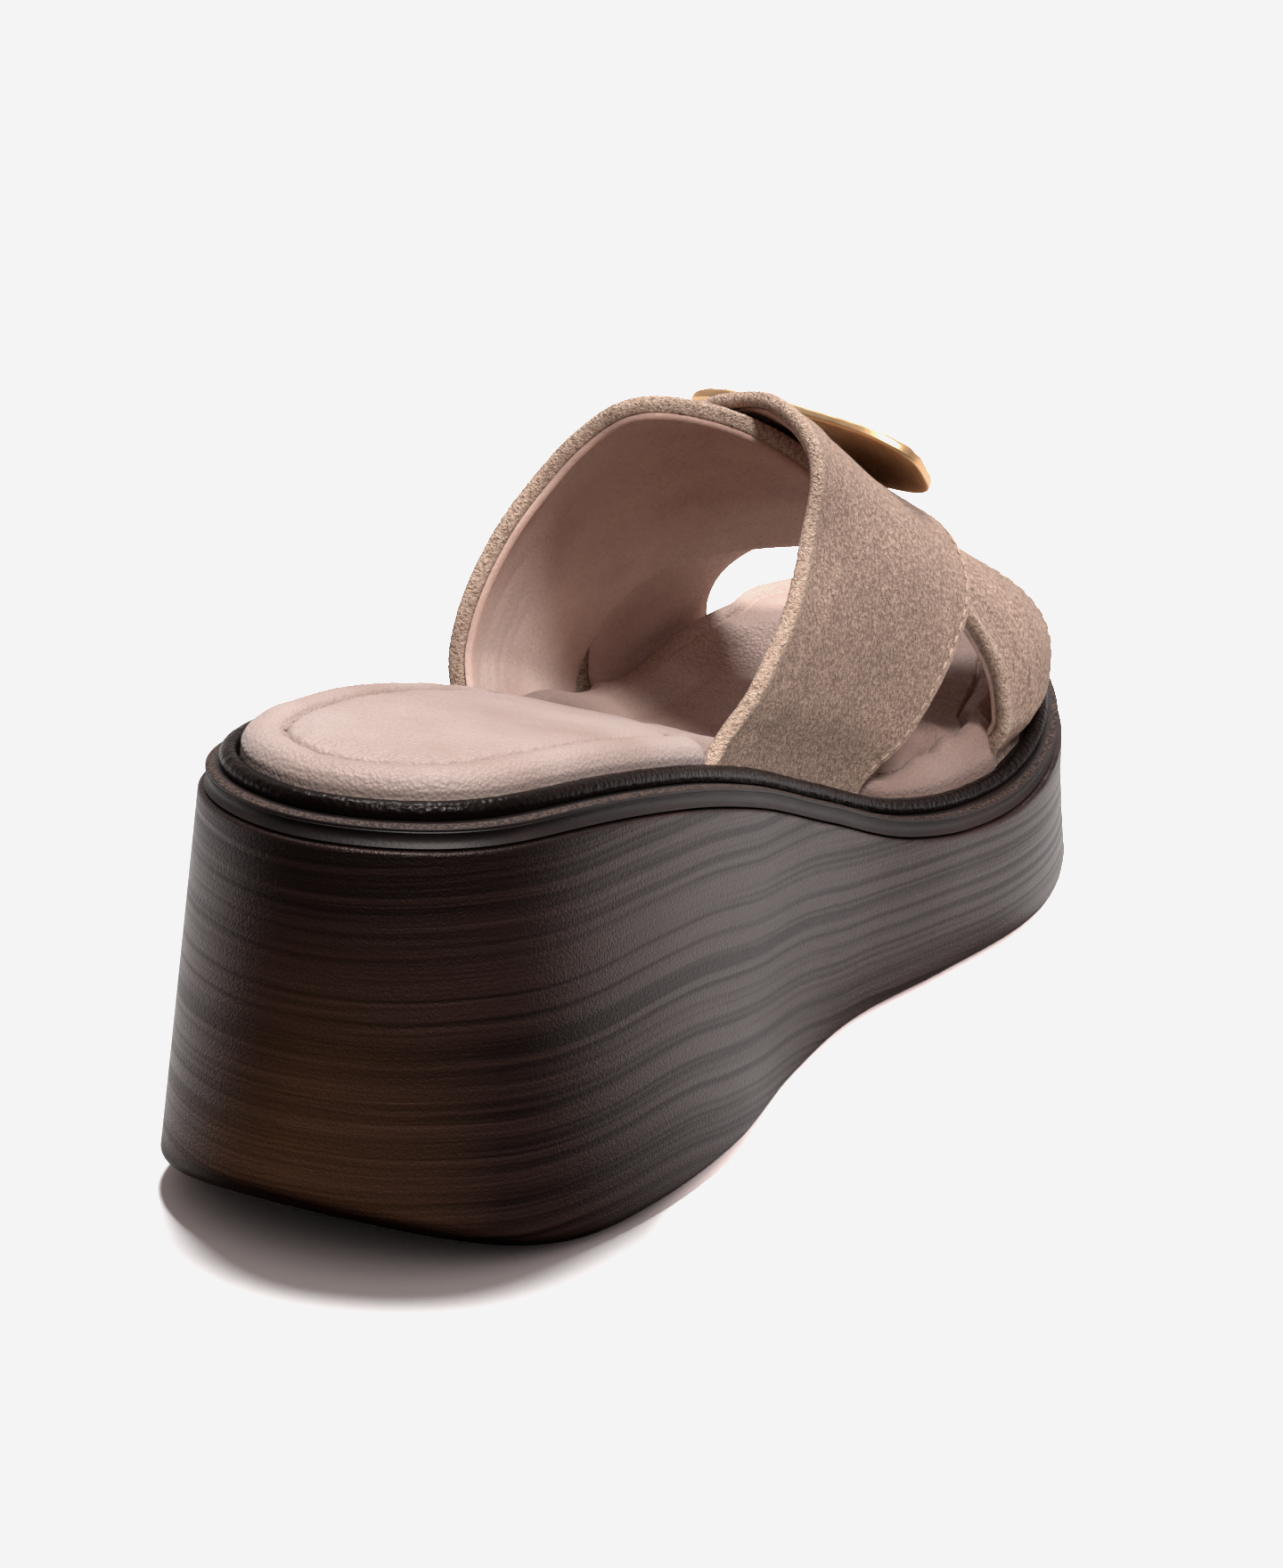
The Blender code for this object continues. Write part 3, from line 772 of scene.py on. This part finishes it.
# Under strap: suede cut to a band, bent over the last and tucked between rand and insole.
# Its edges are thick and raw, with a fuzzy grain, and a crisp ridge where they meet the face.
LastRow = namedtuple(
    "LastRow", "along crown_height crown_shift bulge_medial bulge_lateral full_medial full_lateral")
LAST = table(LastRow, (
    (75, 109.0, 0.0, 3.0, 2.0, 2.3, 1.95),
    (110, 105.0, 0.0, 4.0, 2.0, 2.3, 1.95),
    (140, 97.0, -3.0, 5.0, 3.0, 2.25, 1.90),
    (170, 80.5, -5.0, 6.0, 3.0, 2.15, 1.85),
    (200, 64.0, -8.0, 5.0, 3.0, 2.25, 1.85),
    (230, 50.0, -8.0, 5.0, 3.0, 2.3, 1.85),
))
STRAP_FOOT_HEIGHT = 0.7
BULGE_LOW_MEDIAL = 0.6
BULGE_LOW_LATERAL = 0.4
BULGE_START = 0.15
StrapRow = namedtuple("StrapRow", "around rear front rear_lift front_lift", defaults=(0.0, 0.0))
UNDER_STRAP = table(StrapRow, (
    (0.0, 190.0, 215.0), (0.08, 186.0, 216.0), (0.16, 182.0, 216.0), (0.23, 175.0, 215.0),
    (0.35, 155.0, 212.0), (0.45, 134.0, 208.0), (0.52, 122.0, 205.0), (0.66, 118.0, 200.0),
    (0.73, 115.0, 190.0), (0.80, 109.0, 177.0), (0.89, 102.0, 170.0), (1.0, 100.0, 165.0),
))
LAST_CLEAR = 1.5
STRAP_RINGS = 700
FACE_COLUMNS = 34
BACK_COLUMNS = 12
STRAP_BACK = -1.05
FUZZ = 0.15
FUZZ_RIPPLES = ((1.0, 1.9), (0.6, 3.3))
SLACK = 0.35
SLACK_PITCH = 0.055
RIDGE_FROM_REAR = 10.5
RIDGE_WIDTH = 1.6
RIDGE_HEIGHT = 0.28
RIDGE_ABOVE = 1.2
SUEDE = (0.315, 0.197, 0.143)
SUEDE_DEEP = (0.174, 0.102, 0.072)
SUEDE_PALE = (0.50, 0.34, 0.257)
# Raw edge colours: the brown is partly painted shade in the fuzz's hollows, the pale partly painted highlight
# on its tops.
EDGE_TAN = (0.60, 0.41, 0.305)
EDGE_BROWN = (0.25, 0.152, 0.106)
EDGE_PALE = (0.78, 0.60, 0.48)


def edge_line(distance, side, along):
    """Distance from the axis of the inset lip line on one side (-1 medial, 1 lateral)."""
    angles = np.linspace(0.02, 0.98, 200) * pi
    if side > 0:
        angles = 2 * pi - angles
    line = inset(lip_plan, angles, distance)
    return np.interp(along, line[:, 0], line[:, 1])


def signed_power(value, power):
    return np.sign(value) * np.abs(value) ** power


def last_point(along, around):
    """Points of the last: around runs from 0 at the medial base to 1 at the lateral base."""
    read = {name: table_curve(LAST, name, along) for name in LastRow._fields[1:]}
    medial = edge_line(STRAP_SLOT, -1, along)
    lateral = edge_line(STRAP_SLOT, 1, along)
    base = lip_height(along) + STRAP_FOOT_HEIGHT
    turn = pi * around
    medial_half = around < 0.5
    power = 2 / np.where(medial_half, read["full_medial"], read["full_lateral"])
    swing = signed_power(np.cos(turn), power)
    climb = np.abs(np.sin(turn)) ** power
    up_side = np.clip(1 - np.abs(2 * around - 1), 0, 1)
    low = np.where(medial_half, BULGE_LOW_MEDIAL, BULGE_LOW_LATERAL)
    bulge = np.where(medial_half, -read["bulge_medial"], read["bulge_lateral"])
    bulge = bulge * np.sin(pi * up_side ** low) * soft_step(up_side / BULGE_START)
    across = (medial + lateral) / 2 + (medial - lateral) / 2 * swing
    across = across + bulge + read["crown_shift"] * np.sin(turn) ** 2
    return np.column_stack([along, across, base + (read["crown_height"] - base) * climb])


def last_frame(along, around):
    """Points and outward normals of the last."""
    small = 0.004
    inside = np.clip(around, small, 1 - small)
    ahead = last_point(along + 0.5, around) - last_point(along - 0.5, around)
    over = last_point(along, inside + small) - last_point(along, inside - small)
    normal = np.cross(ahead, over)
    return last_point(along, around), normal / np.linalg.norm(normal, axis=1)[:, None]


def strap_surface(rows, around, place, from_front, depth):
    """Points and normals of a strap; place is measured from its rear edge, or if so set from its front."""
    read = {name: table_curve(rows, name, around) for name in StrapRow._fields[1:]}
    width = read["front"] - read["rear"]
    if from_front:
        place = width - place
    hump = np.clip(1 - place / width, 0, 1) ** 3
    lift = read["front_lift"] + (read["rear_lift"] - read["front_lift"]) * hump
    points, normals = last_frame(read["rear"] + place, around)
    return points + normals * (LAST_CLEAR + lift + depth)[:, None], normals


# Section of a strap: distance from the edge, depth over its middle, and how much of the raw edge shows
SectionPoint = namedtuple("SectionPoint", "place depth edge", defaults=(0.0,))
REAR_EDGE = table(SectionPoint, (
    (1.5, -1.05, 0.2), (0.8, -1.2, 0.7), (0.25, -0.95, 1.0), (-0.1, -0.45, 1.0), (-0.25, 0.1, 1.0),
    (-0.2, 0.65, 1.0), (0.0, 1.05, 1.0), (0.35, 1.4, 1.0), (0.8, 1.53, 0.7), (1.4, 1.5, 0.35),
    (2.3, 1.41, 0.1), (3.5, 1.36, 0.0),
))
FRONT_EDGE = table(SectionPoint, (
    (3.6, 1.38, 0.0), (2.4, 1.3, 0.1), (1.6, 1.38, 0.25), (0.9, 1.38, 0.5), (0.35, 1.15, 0.8),
    (0.05, 0.7, 1.0), (-0.05, 0.1, 1.0), (0.0, -0.5, 1.0), (0.4, -0.95, 0.7), (1.4, -1.05, 0.2),
))


def band_columns(rows, arounds, rear, front, face_columns, back_depth):
    """Columns round a band's section: place, whether it is from the front edge, depth and raw edge."""
    width = table_curve(rows, "front", arounds) - table_curve(rows, "rear", arounds)
    columns = [(np.full_like(arounds, point.place), False, point.depth, point.edge) for point in rear]
    for part in np.linspace(0, 1, face_columns)[1:-1]:
        place = rear[-1].place * (1 - part) + (width - front[0].place) * part
        columns.append((place, False, rear[-1].depth * (1 - part) + front[0].depth * part, 0.0))
    columns += [(np.full_like(arounds, point.place), True, point.depth, point.edge) for point in front]
    for part in np.linspace(0, 1, BACK_COLUMNS)[1:-1]:
        place = (width - front[-1].place) * (1 - part) + rear[0].place * part
        columns.append((place, False, back_depth, 0.0))
    return columns + columns[:1]


def strap_rows(rows, shrug):
    """Closed sections of a strap's suede from its medial to its lateral foot, with the raw edge's marks."""
    arounds = np.linspace(0, 1, STRAP_RINGS)
    columns = band_columns(rows, arounds, REAR_EDGE, FRONT_EDGE, FACE_COLUMNS, STRAP_BACK)
    grid = np.empty((STRAP_RINGS, len(columns), 3))
    edge = np.empty(grid.shape[:2])
    tuft = np.empty(grid.shape[:2])
    for k, (place, from_front, depth, raw) in enumerate(columns):
        slack_here = SLACK * (1 - raw) * (depth > 0)
        if depth > RIDGE_ABOVE and not from_front:
            depth = depth + RIDGE_HEIGHT * np.exp(-((place - RIDGE_FROM_REAR) / RIDGE_WIDTH) ** 2)
        points, normals = strap_surface(rows, arounds, place, from_front, depth)
        for i, point in enumerate(points):
            slack = noise.noise(Vector(point) * SLACK_PITCH + Vector((shrug, 0, 0)))
            fuzz = ripple(point, FUZZ_RIPPLES)
            point += normals[i] * (slack_here * slack + FUZZ * raw * fuzz)
            # The fuzz height is kept to paint shade in its hollows and highlight on its tops.
            tuft[i, k] = 0.5 + 0.5 * fuzz
        grid[:, k] = points
        edge[:, k] = raw
    return grid, edge, tuft


def suede_finish():
    """Napped suede: short fibres in rubbed patches, with a coarse tan and brown grain at the raw edges,
    painted brown as shade in the hollows of their fuzz and pale as highlight on its tops.
    """
    made, tree, place = new_finish("suede", Roughness=0.95, IOR=1.3, Sheen_Weight=0.35, Sheen_Roughness=0.45,
                                   Sheen_Tint=(0.95, 0.82, 0.72))
    nap = speckle(tree, place, 1450.0, detail=3.0, rough=0.65)
    fibre = speckle(tree, place, 3400.0, rough=0.6)
    rubbed = speckle(tree, place, 55.0, detail=5.0, rough=0.6)
    grain = speckle(tree, place, 1700.0, rough=0.6)
    tuft = mark(tree, "tuft")
    edge = mark(tree, "raw_edge")
    face = ramp(tree, nap, (0.39, SUEDE_DEEP), (0.5, SUEDE), (0.62, SUEDE_PALE))
    face = shade(tree, 1.0, face, ramp(tree, rubbed, (0.32, 0.84), (0.68, 1.13)))
    # Painted shade and highlight: the raw edge is brown where its fuzz is low and pale where it is high,
    # mixed with a random grain.
    raw = maths(tree, "MULTIPLY", maths(tree, "ADD", tuft, grain), 0.5)
    raw = ramp(tree, raw, (0.30, EDGE_BROWN), (0.48, EDGE_TAN), (0.72, EDGE_PALE))
    rough = maths(tree, "MULTIPLY", maths(tree, "MULTIPLY", grain, edge), 2.0)
    height = maths(tree, "ADD", maths(tree, "ADD", nap, fibre), rough)
    return wire(made, Base_Color=mix(tree, edge, face, raw), Normal=relief(tree, height, 0.9, 0.0007))


def lay_strap(name, rows, shrug, finish):
    grid, edge, tuft = strap_rows(rows, shrug)
    piece = weld(lay_sheet(name, grid, raw_edge=edge, tuft=tuft))
    piece.data.materials.append(finish)
    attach(piece, "root")
    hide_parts("upper")


suede = suede_finish()
lay_strap("under_strap", UNDER_STRAP, 0.0, suede)

# Under strap's lining: thin nude leather glued inside, rolled at the rear edge with a seam beside the roll.
# It is slack and lightly wrinkled near the lateral foot.
ROLLED_REAR = table(SectionPoint, (
    (0.9, -1.12), (0.45, -1.35), (0.5, -1.8), (0.9, -2.2), (1.4, -2.35), (1.9, -2.2), (2.3, -1.8),
    (2.55, -1.4), (2.75, -1.25), (3.05, -1.4), (3.6, -1.6), (4.6, -1.65),
))
FLAT_REAR = table(SectionPoint, (
    (1.9, -1.12), (1.85, -1.35), (2.2, -1.6), (3.0, -1.7), (4.6, -1.7),
))
LINING_FRONT = table(SectionPoint, (
    (3.0, -1.55), (1.5, -1.5), (0.9, -1.3), (1.0, -1.12),
))
LINING_BACK = -1.12
LINING_COLUMNS = 40
LINING_RINGS = 300
LINING_END = 0.004
LINING_FACE = -1.3
WRINKLE_FADE = 0.04
WRINKLE_WAVE = 1.6
WRINKLE_TURNS = 40
# Wrinkles of the lining: distance from the rear edge, where they start and end around, width and depth
Wrinkle = namedtuple("Wrinkle", "place start end width depth")
UNDER_WRINKLES = table(Wrinkle, (
    (9.0, 0.84, 0.99, 1.3, 0.20),
    (13.5, 0.80, 0.98, 1.1, 0.24),
    (17.5, 0.86, 0.97, 1.2, 0.16),
    (23.0, 0.82, 0.99, 1.5, 0.22),
    (30.0, 0.84, 0.98, 1.4, 0.18),
))
LINING = (0.66, 0.43, 0.355)
LINING_DEEP = (0.57, 0.36, 0.295)
LINING_PALE = (0.74, 0.52, 0.435)
# Painted light makes the lining paler low down, and painted shade deepens it high in the strap's vault.
LINING_PAINTED_LIGHT_LOW = (1.22, 1.40, 1.46)
LINING_PAINTED_SHADE_HIGH = (0.76, 0.74, 0.72)


def paint_lining_light_and_shade(tree, place, colour):
    """Painted shade deepens the vault of the strap, and painted light makes it paler low down."""
    painted_tone = mix(tree, between(tree, axes(tree, place)["Z"], 0.076, 0.058), LINING_PAINTED_SHADE_HIGH, LINING_PAINTED_LIGHT_LOW)
    return shade(tree, 1.0, colour, painted_tone)


def lining_rows(rows, rear, wrinkles):
    """Closed sections of a strap's lining, from its medial foot to its lateral foot."""
    arounds = np.linspace(LINING_END, 1 - LINING_END, LINING_RINGS)
    columns = band_columns(rows, arounds, rear, LINING_FRONT, LINING_COLUMNS, LINING_BACK)
    grid = np.empty((LINING_RINGS, len(columns), 3))
    for k, (place, from_front, depth, _) in enumerate(columns):
        for wrinkle in wrinkles if not from_front and depth < LINING_FACE else ():
            starts = np.clip((arounds - wrinkle.start) / WRINKLE_FADE, 0, 1)
            ends = np.clip((wrinkle.end - arounds) / WRINKLE_FADE, 0, 1)
            bend = wrinkle.place + WRINKLE_WAVE * np.sin(WRINKLE_TURNS * arounds + wrinkle.place)
            trough = np.exp(-((place - bend) / wrinkle.width) ** 2)
            depth = depth + wrinkle.depth * starts * ends * trough
        grid[:, k] = strap_surface(rows, arounds, place, from_front, depth)[0]
    return grid


def lay_lining(name, rows, rear, wrinkles, finish):
    piece = weld(lay_sheet(name, lining_rows(rows, rear, wrinkles)))
    piece.data.materials.append(finish)
    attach(piece, "root")


lining_leather = pebble_leather_finish(
    "lining_leather", LINING, LINING_DEEP, LINING_PALE, 1500.0, 0.16, paint_lining_light_and_shade)
lay_lining("under_lining", UNDER_STRAP, ROLLED_REAR, UNDER_WRINKLES, lining_leather)

# Over strap: the second suede band, which crosses the first and lifts off it in a hump at the rear.
# It is lined like the first one, and the two are sewn together under the plate.
OVER_STRAP = table(StrapRow, (
    (0.0, 87.0, 147.0),
    (0.08, 101.0, 157.0, 0.0, 0.3),
    (0.15, 113.0, 165.0, 0.2, 1.0),
    (0.24, 124.0, 175.0, 1.0, 2.0),
    (0.33, 129.0, 182.0, 5.9, 2.3),
    (0.41, 132.5, 187.5, 5.8, 2.4),
    (0.49, 138.0, 192.5, 2.5, 2.4),
    (0.66, 152.0, 200.0, 2.25, 2.3),
    (0.77, 160.0, 204.0, 2.2, 2.0),
    (0.86, 167.0, 209.0, 1.6, 1.2), (0.95, 171.5, 212.5), (1.0, 173.0, 214.0),
))
lay_strap("over_strap", OVER_STRAP, 37.0, suede)
lay_lining("over_lining", OVER_STRAP, FLAT_REAR, (), lining_leather)

# Strap stitches: a fine row of pale thread just inside the front edge of each strap.
# The thread holds suede and lining together, and the row lies in a shallow groove.
STRAP_STITCH_PITCH = 2.7
STRAP_STITCH_LENGTH = 1.7
STRAP_STITCH_THICK = 0.42
STRAP_STITCH_INSET = 2.1
STRAP_STITCH_DEPTH = 1.38
STRAP_SEAM_POINTS = 400
STRAP_SEAM_END = 0.03
STRAP_THREAD = (0.37, 0.248, 0.186)
STRAP_THREAD_PALE = (0.49, 0.36, 0.28)


def sew_strap(name, rows, finish):
    arounds = np.linspace(STRAP_SEAM_END, 1 - STRAP_SEAM_END, STRAP_SEAM_POINTS)
    line, normals = strap_surface(rows, arounds, STRAP_STITCH_INSET, True, STRAP_STITCH_DEPTH)
    places, forwards = spaced(line, STRAP_STITCH_PITCH)
    near = [int(np.argmin(np.linalg.norm(line - spot, axis=1))) for spot in places]
    row = sew(name, places, forwards, normals[near], STRAP_STITCH_LENGTH, STRAP_STITCH_THICK, finish)
    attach(row, "root")


strap_thread = thread_finish("strap_thread", STRAP_THREAD, STRAP_THREAD_PALE)
sew_strap("over_strap_stitches", OVER_STRAP, strap_thread)
sew_strap("under_strap_stitches", UNDER_STRAP, strap_thread)

# Plate: pale gold metal riveted on the crossing, bowed a little, with both ends in the air.
# Its rim is raised and dented by hand all round, and its sunk field is lightly hammered.
PLATE_LENGTH = 43.5
PLATE_WIDTH = 22.0
PLATE_ALONG = 172.0
PLATE_ACROSS = -0.2
PLATE_SLOPE = radians(40)
PLATE_ARCH_RADIUS = 120.0
PLATE_ARCH_ACROSS = 8.0
PLATE_SQUARENESS = 3.2
PLATE_TILT = 0.072
PLATE_SAG = 0.8
PLATE_SINK = 0.35
PLATE_POINTS = 220
PLATE_PROFILE = table(ProfilePoint, (
    (1.3, 0.0), (0.35, 0.1), (0.05, 0.4), (0.0, 0.9), (0.0, 1.45), (0.12, 1.85), (0.5, 2.05),
    (1.4, 1.95), (2.3, 1.5), (3.2, 1.25),
))
PLATE_STEPS = 37
PLATE_UNDER_RINGS = 8
PLATE_FIELD_RINGS = 14
RIM_DENT = 0.26
RIM_FROM = 1.4
RIM_CLIMB = 0.6
RIM_RIPPLES = ((1.0, 0.34), (0.5, 0.8))
FIELD_DENT = 0.16
FIELD_FROM = 1.2
FIELD_PITCH = 0.42
FIELD_SHIFT = Vector((9.0, 4.0, 0.0))
GOLD = (0.78, 0.49, 0.25)
GOLD_PALE = (0.86, 0.60, 0.35)


def plate_frame():
    """Middle of the plate's underside, from its solid, with its directions across, down the instep and up."""
    down = np.array([cos(PLATE_SLOPE), 0.0, -sin(PLATE_SLOPE)])
    up = np.array([sin(PLATE_SLOPE), 0.0, cos(PLATE_SLOPE)])
    crown = float(table_curve(LAST, "crown_height", PLATE_ALONG))
    middle = np.array([PLATE_ALONG, PLATE_ACROSS, crown])
    points = mesh_points(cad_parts["ornament"].data) / MM + CENTRE - middle
    seat = float((points @ up + arch_drop(points[:, 1])).min())
    return middle + up * seat, np.array([0.0, 1.0, 0.0]), down, up


def arch_drop(across):
    """How far the arch of the plate's solid falls away at a place across the shoe."""
    return (across + PLATE_ACROSS - PLATE_ARCH_ACROSS) ** 2 / (2 * PLATE_ARCH_RADIUS)


def plate_ring(set_in, rise, share):
    """Ring of the plate, shrunk by share towards its middle, with the dents of rim and field."""
    turn = ring_angles(PLATE_POINTS)
    power = 2 / PLATE_SQUARENESS
    side = signed_power(np.cos(turn), power) * (PLATE_LENGTH / 2 - set_in) * share
    fall = signed_power(np.sin(turn), power) * (PLATE_WIDTH / 2 - set_in) * share
    height = rise + PLATE_TILT * side - PLATE_SAG * (2 * side / PLATE_LENGTH) ** 2 - PLATE_SINK
    rim = np.clip((rise - RIM_FROM) / RIM_CLIMB, 0, 1)
    for i in range(PLATE_POINTS):
        spot = Vector((side[i], fall[i], 0.0))
        field = noise.noise(spot * FIELD_PITCH + FIELD_SHIFT)
        height[i] += RIM_DENT * rim * ripple(spot, RIM_RIPPLES) + FIELD_DENT * field * (rise > FIELD_FROM)
    middle, across, down, up = PLATE_FRAME
    return middle + np.outer(side, across) + np.outer(fall, down) + np.outer(height, up)


def plate_rings():
    insets, heights = smooth_profile(PLATE_PROFILE, PLATE_STEPS)
    under = np.linspace(0.0, 0.9, PLATE_UNDER_RINGS)
    field = np.linspace(0.94, 0.0, PLATE_FIELD_RINGS)
    rings = [plate_ring(insets[0], heights[0], share) for share in under]
    rings += [plate_ring(set_in, rise, 1.0) for set_in, rise in zip(insets, heights)]
    return rings + [plate_ring(insets[-1], heights[-1], share) for share in field]


def gold_finish():
    """Polished pale gold with a soft brushed haze and small dings, a little duller on its back."""
    made, tree, place = new_finish("pale_gold", Metallic=1.0)
    haze = speckle(tree, place, 140.0, detail=4.0)
    back = mark(tree, "back")
    gloss = ramp(tree, haze, (0.3, 0.32), (0.75, 0.44))
    return wire(made, Base_Color=ramp(tree, haze, (0.35, GOLD), (0.7, GOLD_PALE)),
                Roughness=mix(tree, back, gloss, 0.42),
                Normal=relief(tree, speckle(tree, place, 700.0), 0.12, 0.0003))


PLATE_FRAME = plate_frame()
rings = plate_rings()
plate = lay_rings("plate", rings, back=[float(k <= PLATE_UNDER_RINGS) for k in range(len(rings))])
plate.data.materials.append(gold_finish())
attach(plate, "root")
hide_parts("ornament")

# Studio: a pale floor in a white room that is dark on the camera's side, with two soft lamps on the shoe,
# one overhead and one to the side. The overhead lamp has a smaller twin that lights the floor alone.
# The camera stands a metre away, rolled a little.
FLOOR_SIZE = 30.0
FLOOR_DROP = 0.0002
PALE = 0.906
FLOOR_SEEN = 1.0
# Painted light: to the right of the shoe the camera sees the floor this many times brighter, which washes out
# the shoe's shadow there.
FLOOR_OVERLIT = 9.0
OVERLIT_FROM = -0.03
OVERLIT_TO = 0.02
OVERLIT_HEADING = -45
# Painted shade: in reflections and bounced light the floor is this dark on the camera's side.
FLOOR_DARK_HEADING = 30
FLOOR_DARK_FROM = -0.042
FLOOR_DARK_TO = -0.10
FLOOR_DARK = 0.03
ROOM_FAR = 0.58
ROOM_SIDE = 0.24
ROOM_NEAR = 0.02
FILL = 0.18
FILL_CLIMB = 15
FRONT_FILL = 0.42
FRONT_FILL_TURN = 195
FRONT_FILL_CLIMB = 44
WARM = (1.0, 0.82, 0.79)
LAMP_STRENGTH = 3.1
LAMP_HEADING = 29.1
LAMP_ELEVATION = 75.7
LAMP_SPREAD = radians(22)
FLOOR_LAMP_SPREAD = radians(8)
SIDE_STRENGTH = 3.3
SIDE_HEADING = -131
SIDE_ELEVATION = 53
SIDE_SPREAD = radians(11)
CAMERA_AIM = (-0.001, -0.0009, 0.0396)
CAMERA_DISTANCE = 1.0
CAMERA_HEADING = 24.23
CAMERA_ELEVATION = 18.61
CAMERA_ROLL = radians(3.99)
FOCAL_PIXELS = 6879.4
PHOTO_HEIGHT = 1760
SENSOR_HEIGHT = 36.0


def heading(turn, climb):
    """Direction at a turn from the shoe's axis and a climb from the floor, both in degrees."""
    turn, climb = radians(turn), radians(climb)
    return Vector((cos(turn) * cos(climb), sin(turn) * cos(climb), sin(climb)))


def facing(tree, place, way):
    return node(tree, "VectorMath", {0: place, 1: way}, "Value", operation="DOT_PRODUCT")


def floor_finish():
    """White paper. In reflections and bounced light it is painted dark on the camera's side, a painted shade
    for that dark side of the room, while the camera sees it pale; to the right of the shoe the camera sees it
    painted far brighter, a painted light that washes out the shoe's shadow there.
    """
    made, tree, place = new_finish("floor_paper", Roughness=0.9, Specular_IOR_Level=0.0)
    # Painted shade: the floor is dark in reflections and bounced light on the camera's side.
    ahead = facing(tree, place, heading(FLOOR_DARK_HEADING, 0))
    thrown_with_painted_shade = between(tree, ahead, FLOOR_DARK_TO, FLOOR_DARK_FROM, FLOOR_DARK, PALE)
    # Painted light on the floor to the right of the shoe, as the camera sees it.
    aside = facing(tree, place, heading(OVERLIT_HEADING, 0))
    seen_with_painted_light = between(tree, aside, OVERLIT_FROM, OVERLIT_TO, FLOOR_SEEN, FLOOR_OVERLIT,
                    interpolation_type="SMOOTHSTEP")
    return wire(made, Base_Color=mix(tree, node(tree, "LightPath", {}, "Is Camera Ray"), thrown_with_painted_shade, seen_with_painted_light))


bpy.ops.object.select_all(action="DESELECT")
bpy.ops.mesh.primitive_plane_add(size=FLOOR_SIZE, location=(0, 0, -FLOOR_DROP))
floor = bpy.context.object
floor.name = "floor"
floor.data.materials.append(floor_finish())

world = bpy.data.worlds.new("room")
bpy.context.scene.world = world
world.use_nodes = True
room = world.node_tree
look = node(room, "TexCoord", {}, "Generated")
ahead = between(room, facing(room, look, heading(CAMERA_HEADING, 0)), -1.0, 1.0)
aside = facing(room, look, heading(CAMERA_HEADING - 90, FILL_CLIMB))
above = facing(room, look, heading(CAMERA_HEADING + FRONT_FILL_TURN, FRONT_FILL_CLIMB))
light = ramp(room, ahead, (0.1, ROOM_NEAR), (0.3, ROOM_NEAR * 2), (0.5, ROOM_SIDE), (0.8, ROOM_FAR))
fill = ramp(room, between(room, aside, -1.0, 1.0), (0.75, 0.0), (0.9, FILL))
front_fill = ramp(room, above, (0.80, 0.0), (0.93, FRONT_FILL))
light = mix(room, 1.0, mix(room, 1.0, light, fill, "ADD"), front_fill, "ADD")
light = shade(room, 1.0, light, WARM)
light = mix(room, node(room, "LightPath", {}, "Is Camera Ray"), light, PALE)
room.links.new(light, room.nodes["Background"].inputs["Color"])


def add_lamp(name, strength, spread, turn, climb):
    bpy.ops.object.light_add(type="SUN")
    lamp = bpy.context.object
    lamp.name = name
    lamp.data.energy = strength
    lamp.data.angle = spread
    lamp.rotation_euler = heading(turn, climb).to_track_quat("Z", "Y").to_euler()
    return lamp


def light_floor(lamp, state):
    """Lets the lamp light the floor alone, or all but the floor."""
    lit = bpy.data.collections.new("floor_of_" + lamp.name)
    lit.objects.link(floor)
    lit.collection_objects[0].light_linking.link_state = state
    lamp.light_linking.receiver_collection = lit


overhead = (LAMP_HEADING, LAMP_ELEVATION)
light_floor(add_lamp("overhead_lamp", LAMP_STRENGTH, LAMP_SPREAD, *overhead), "EXCLUDE")
light_floor(add_lamp("floor_lamp", LAMP_STRENGTH, FLOOR_LAMP_SPREAD, *overhead), "INCLUDE")
light_floor(add_lamp("side_lamp", SIDE_STRENGTH, SIDE_SPREAD, SIDE_HEADING, SIDE_ELEVATION), "EXCLUDE")

bpy.ops.object.camera_add()
camera = bpy.context.object
camera.name = "camera"
camera.data.sensor_fit = "VERTICAL"
camera.data.sensor_height = SENSOR_HEIGHT
camera.data.lens = FOCAL_PIXELS * SENSOR_HEIGHT / PHOTO_HEIGHT
forward = heading(CAMERA_HEADING, -CAMERA_ELEVATION)
eye = Vector(CAMERA_AIM) - forward * CAMERA_DISTANCE
turn = forward.to_track_quat("-Z", "Y").to_matrix().to_4x4() @ Matrix.Rotation(CAMERA_ROLL, 4, "Z")
camera.matrix_world = Matrix.Translation(eye) @ turn
bpy.context.scene.camera = camera
view = bpy.context.scene.view_settings
view.view_transform = "Standard"
view.use_curve_mapping = True
brightest = view.curve_mapping.curves[3].points
brightest[1].location = (PALE, PALE)
brightest.new(1.0, PALE)
for point in brightest:
    point.handle_type = "VECTOR"
view.curve_mapping.update()
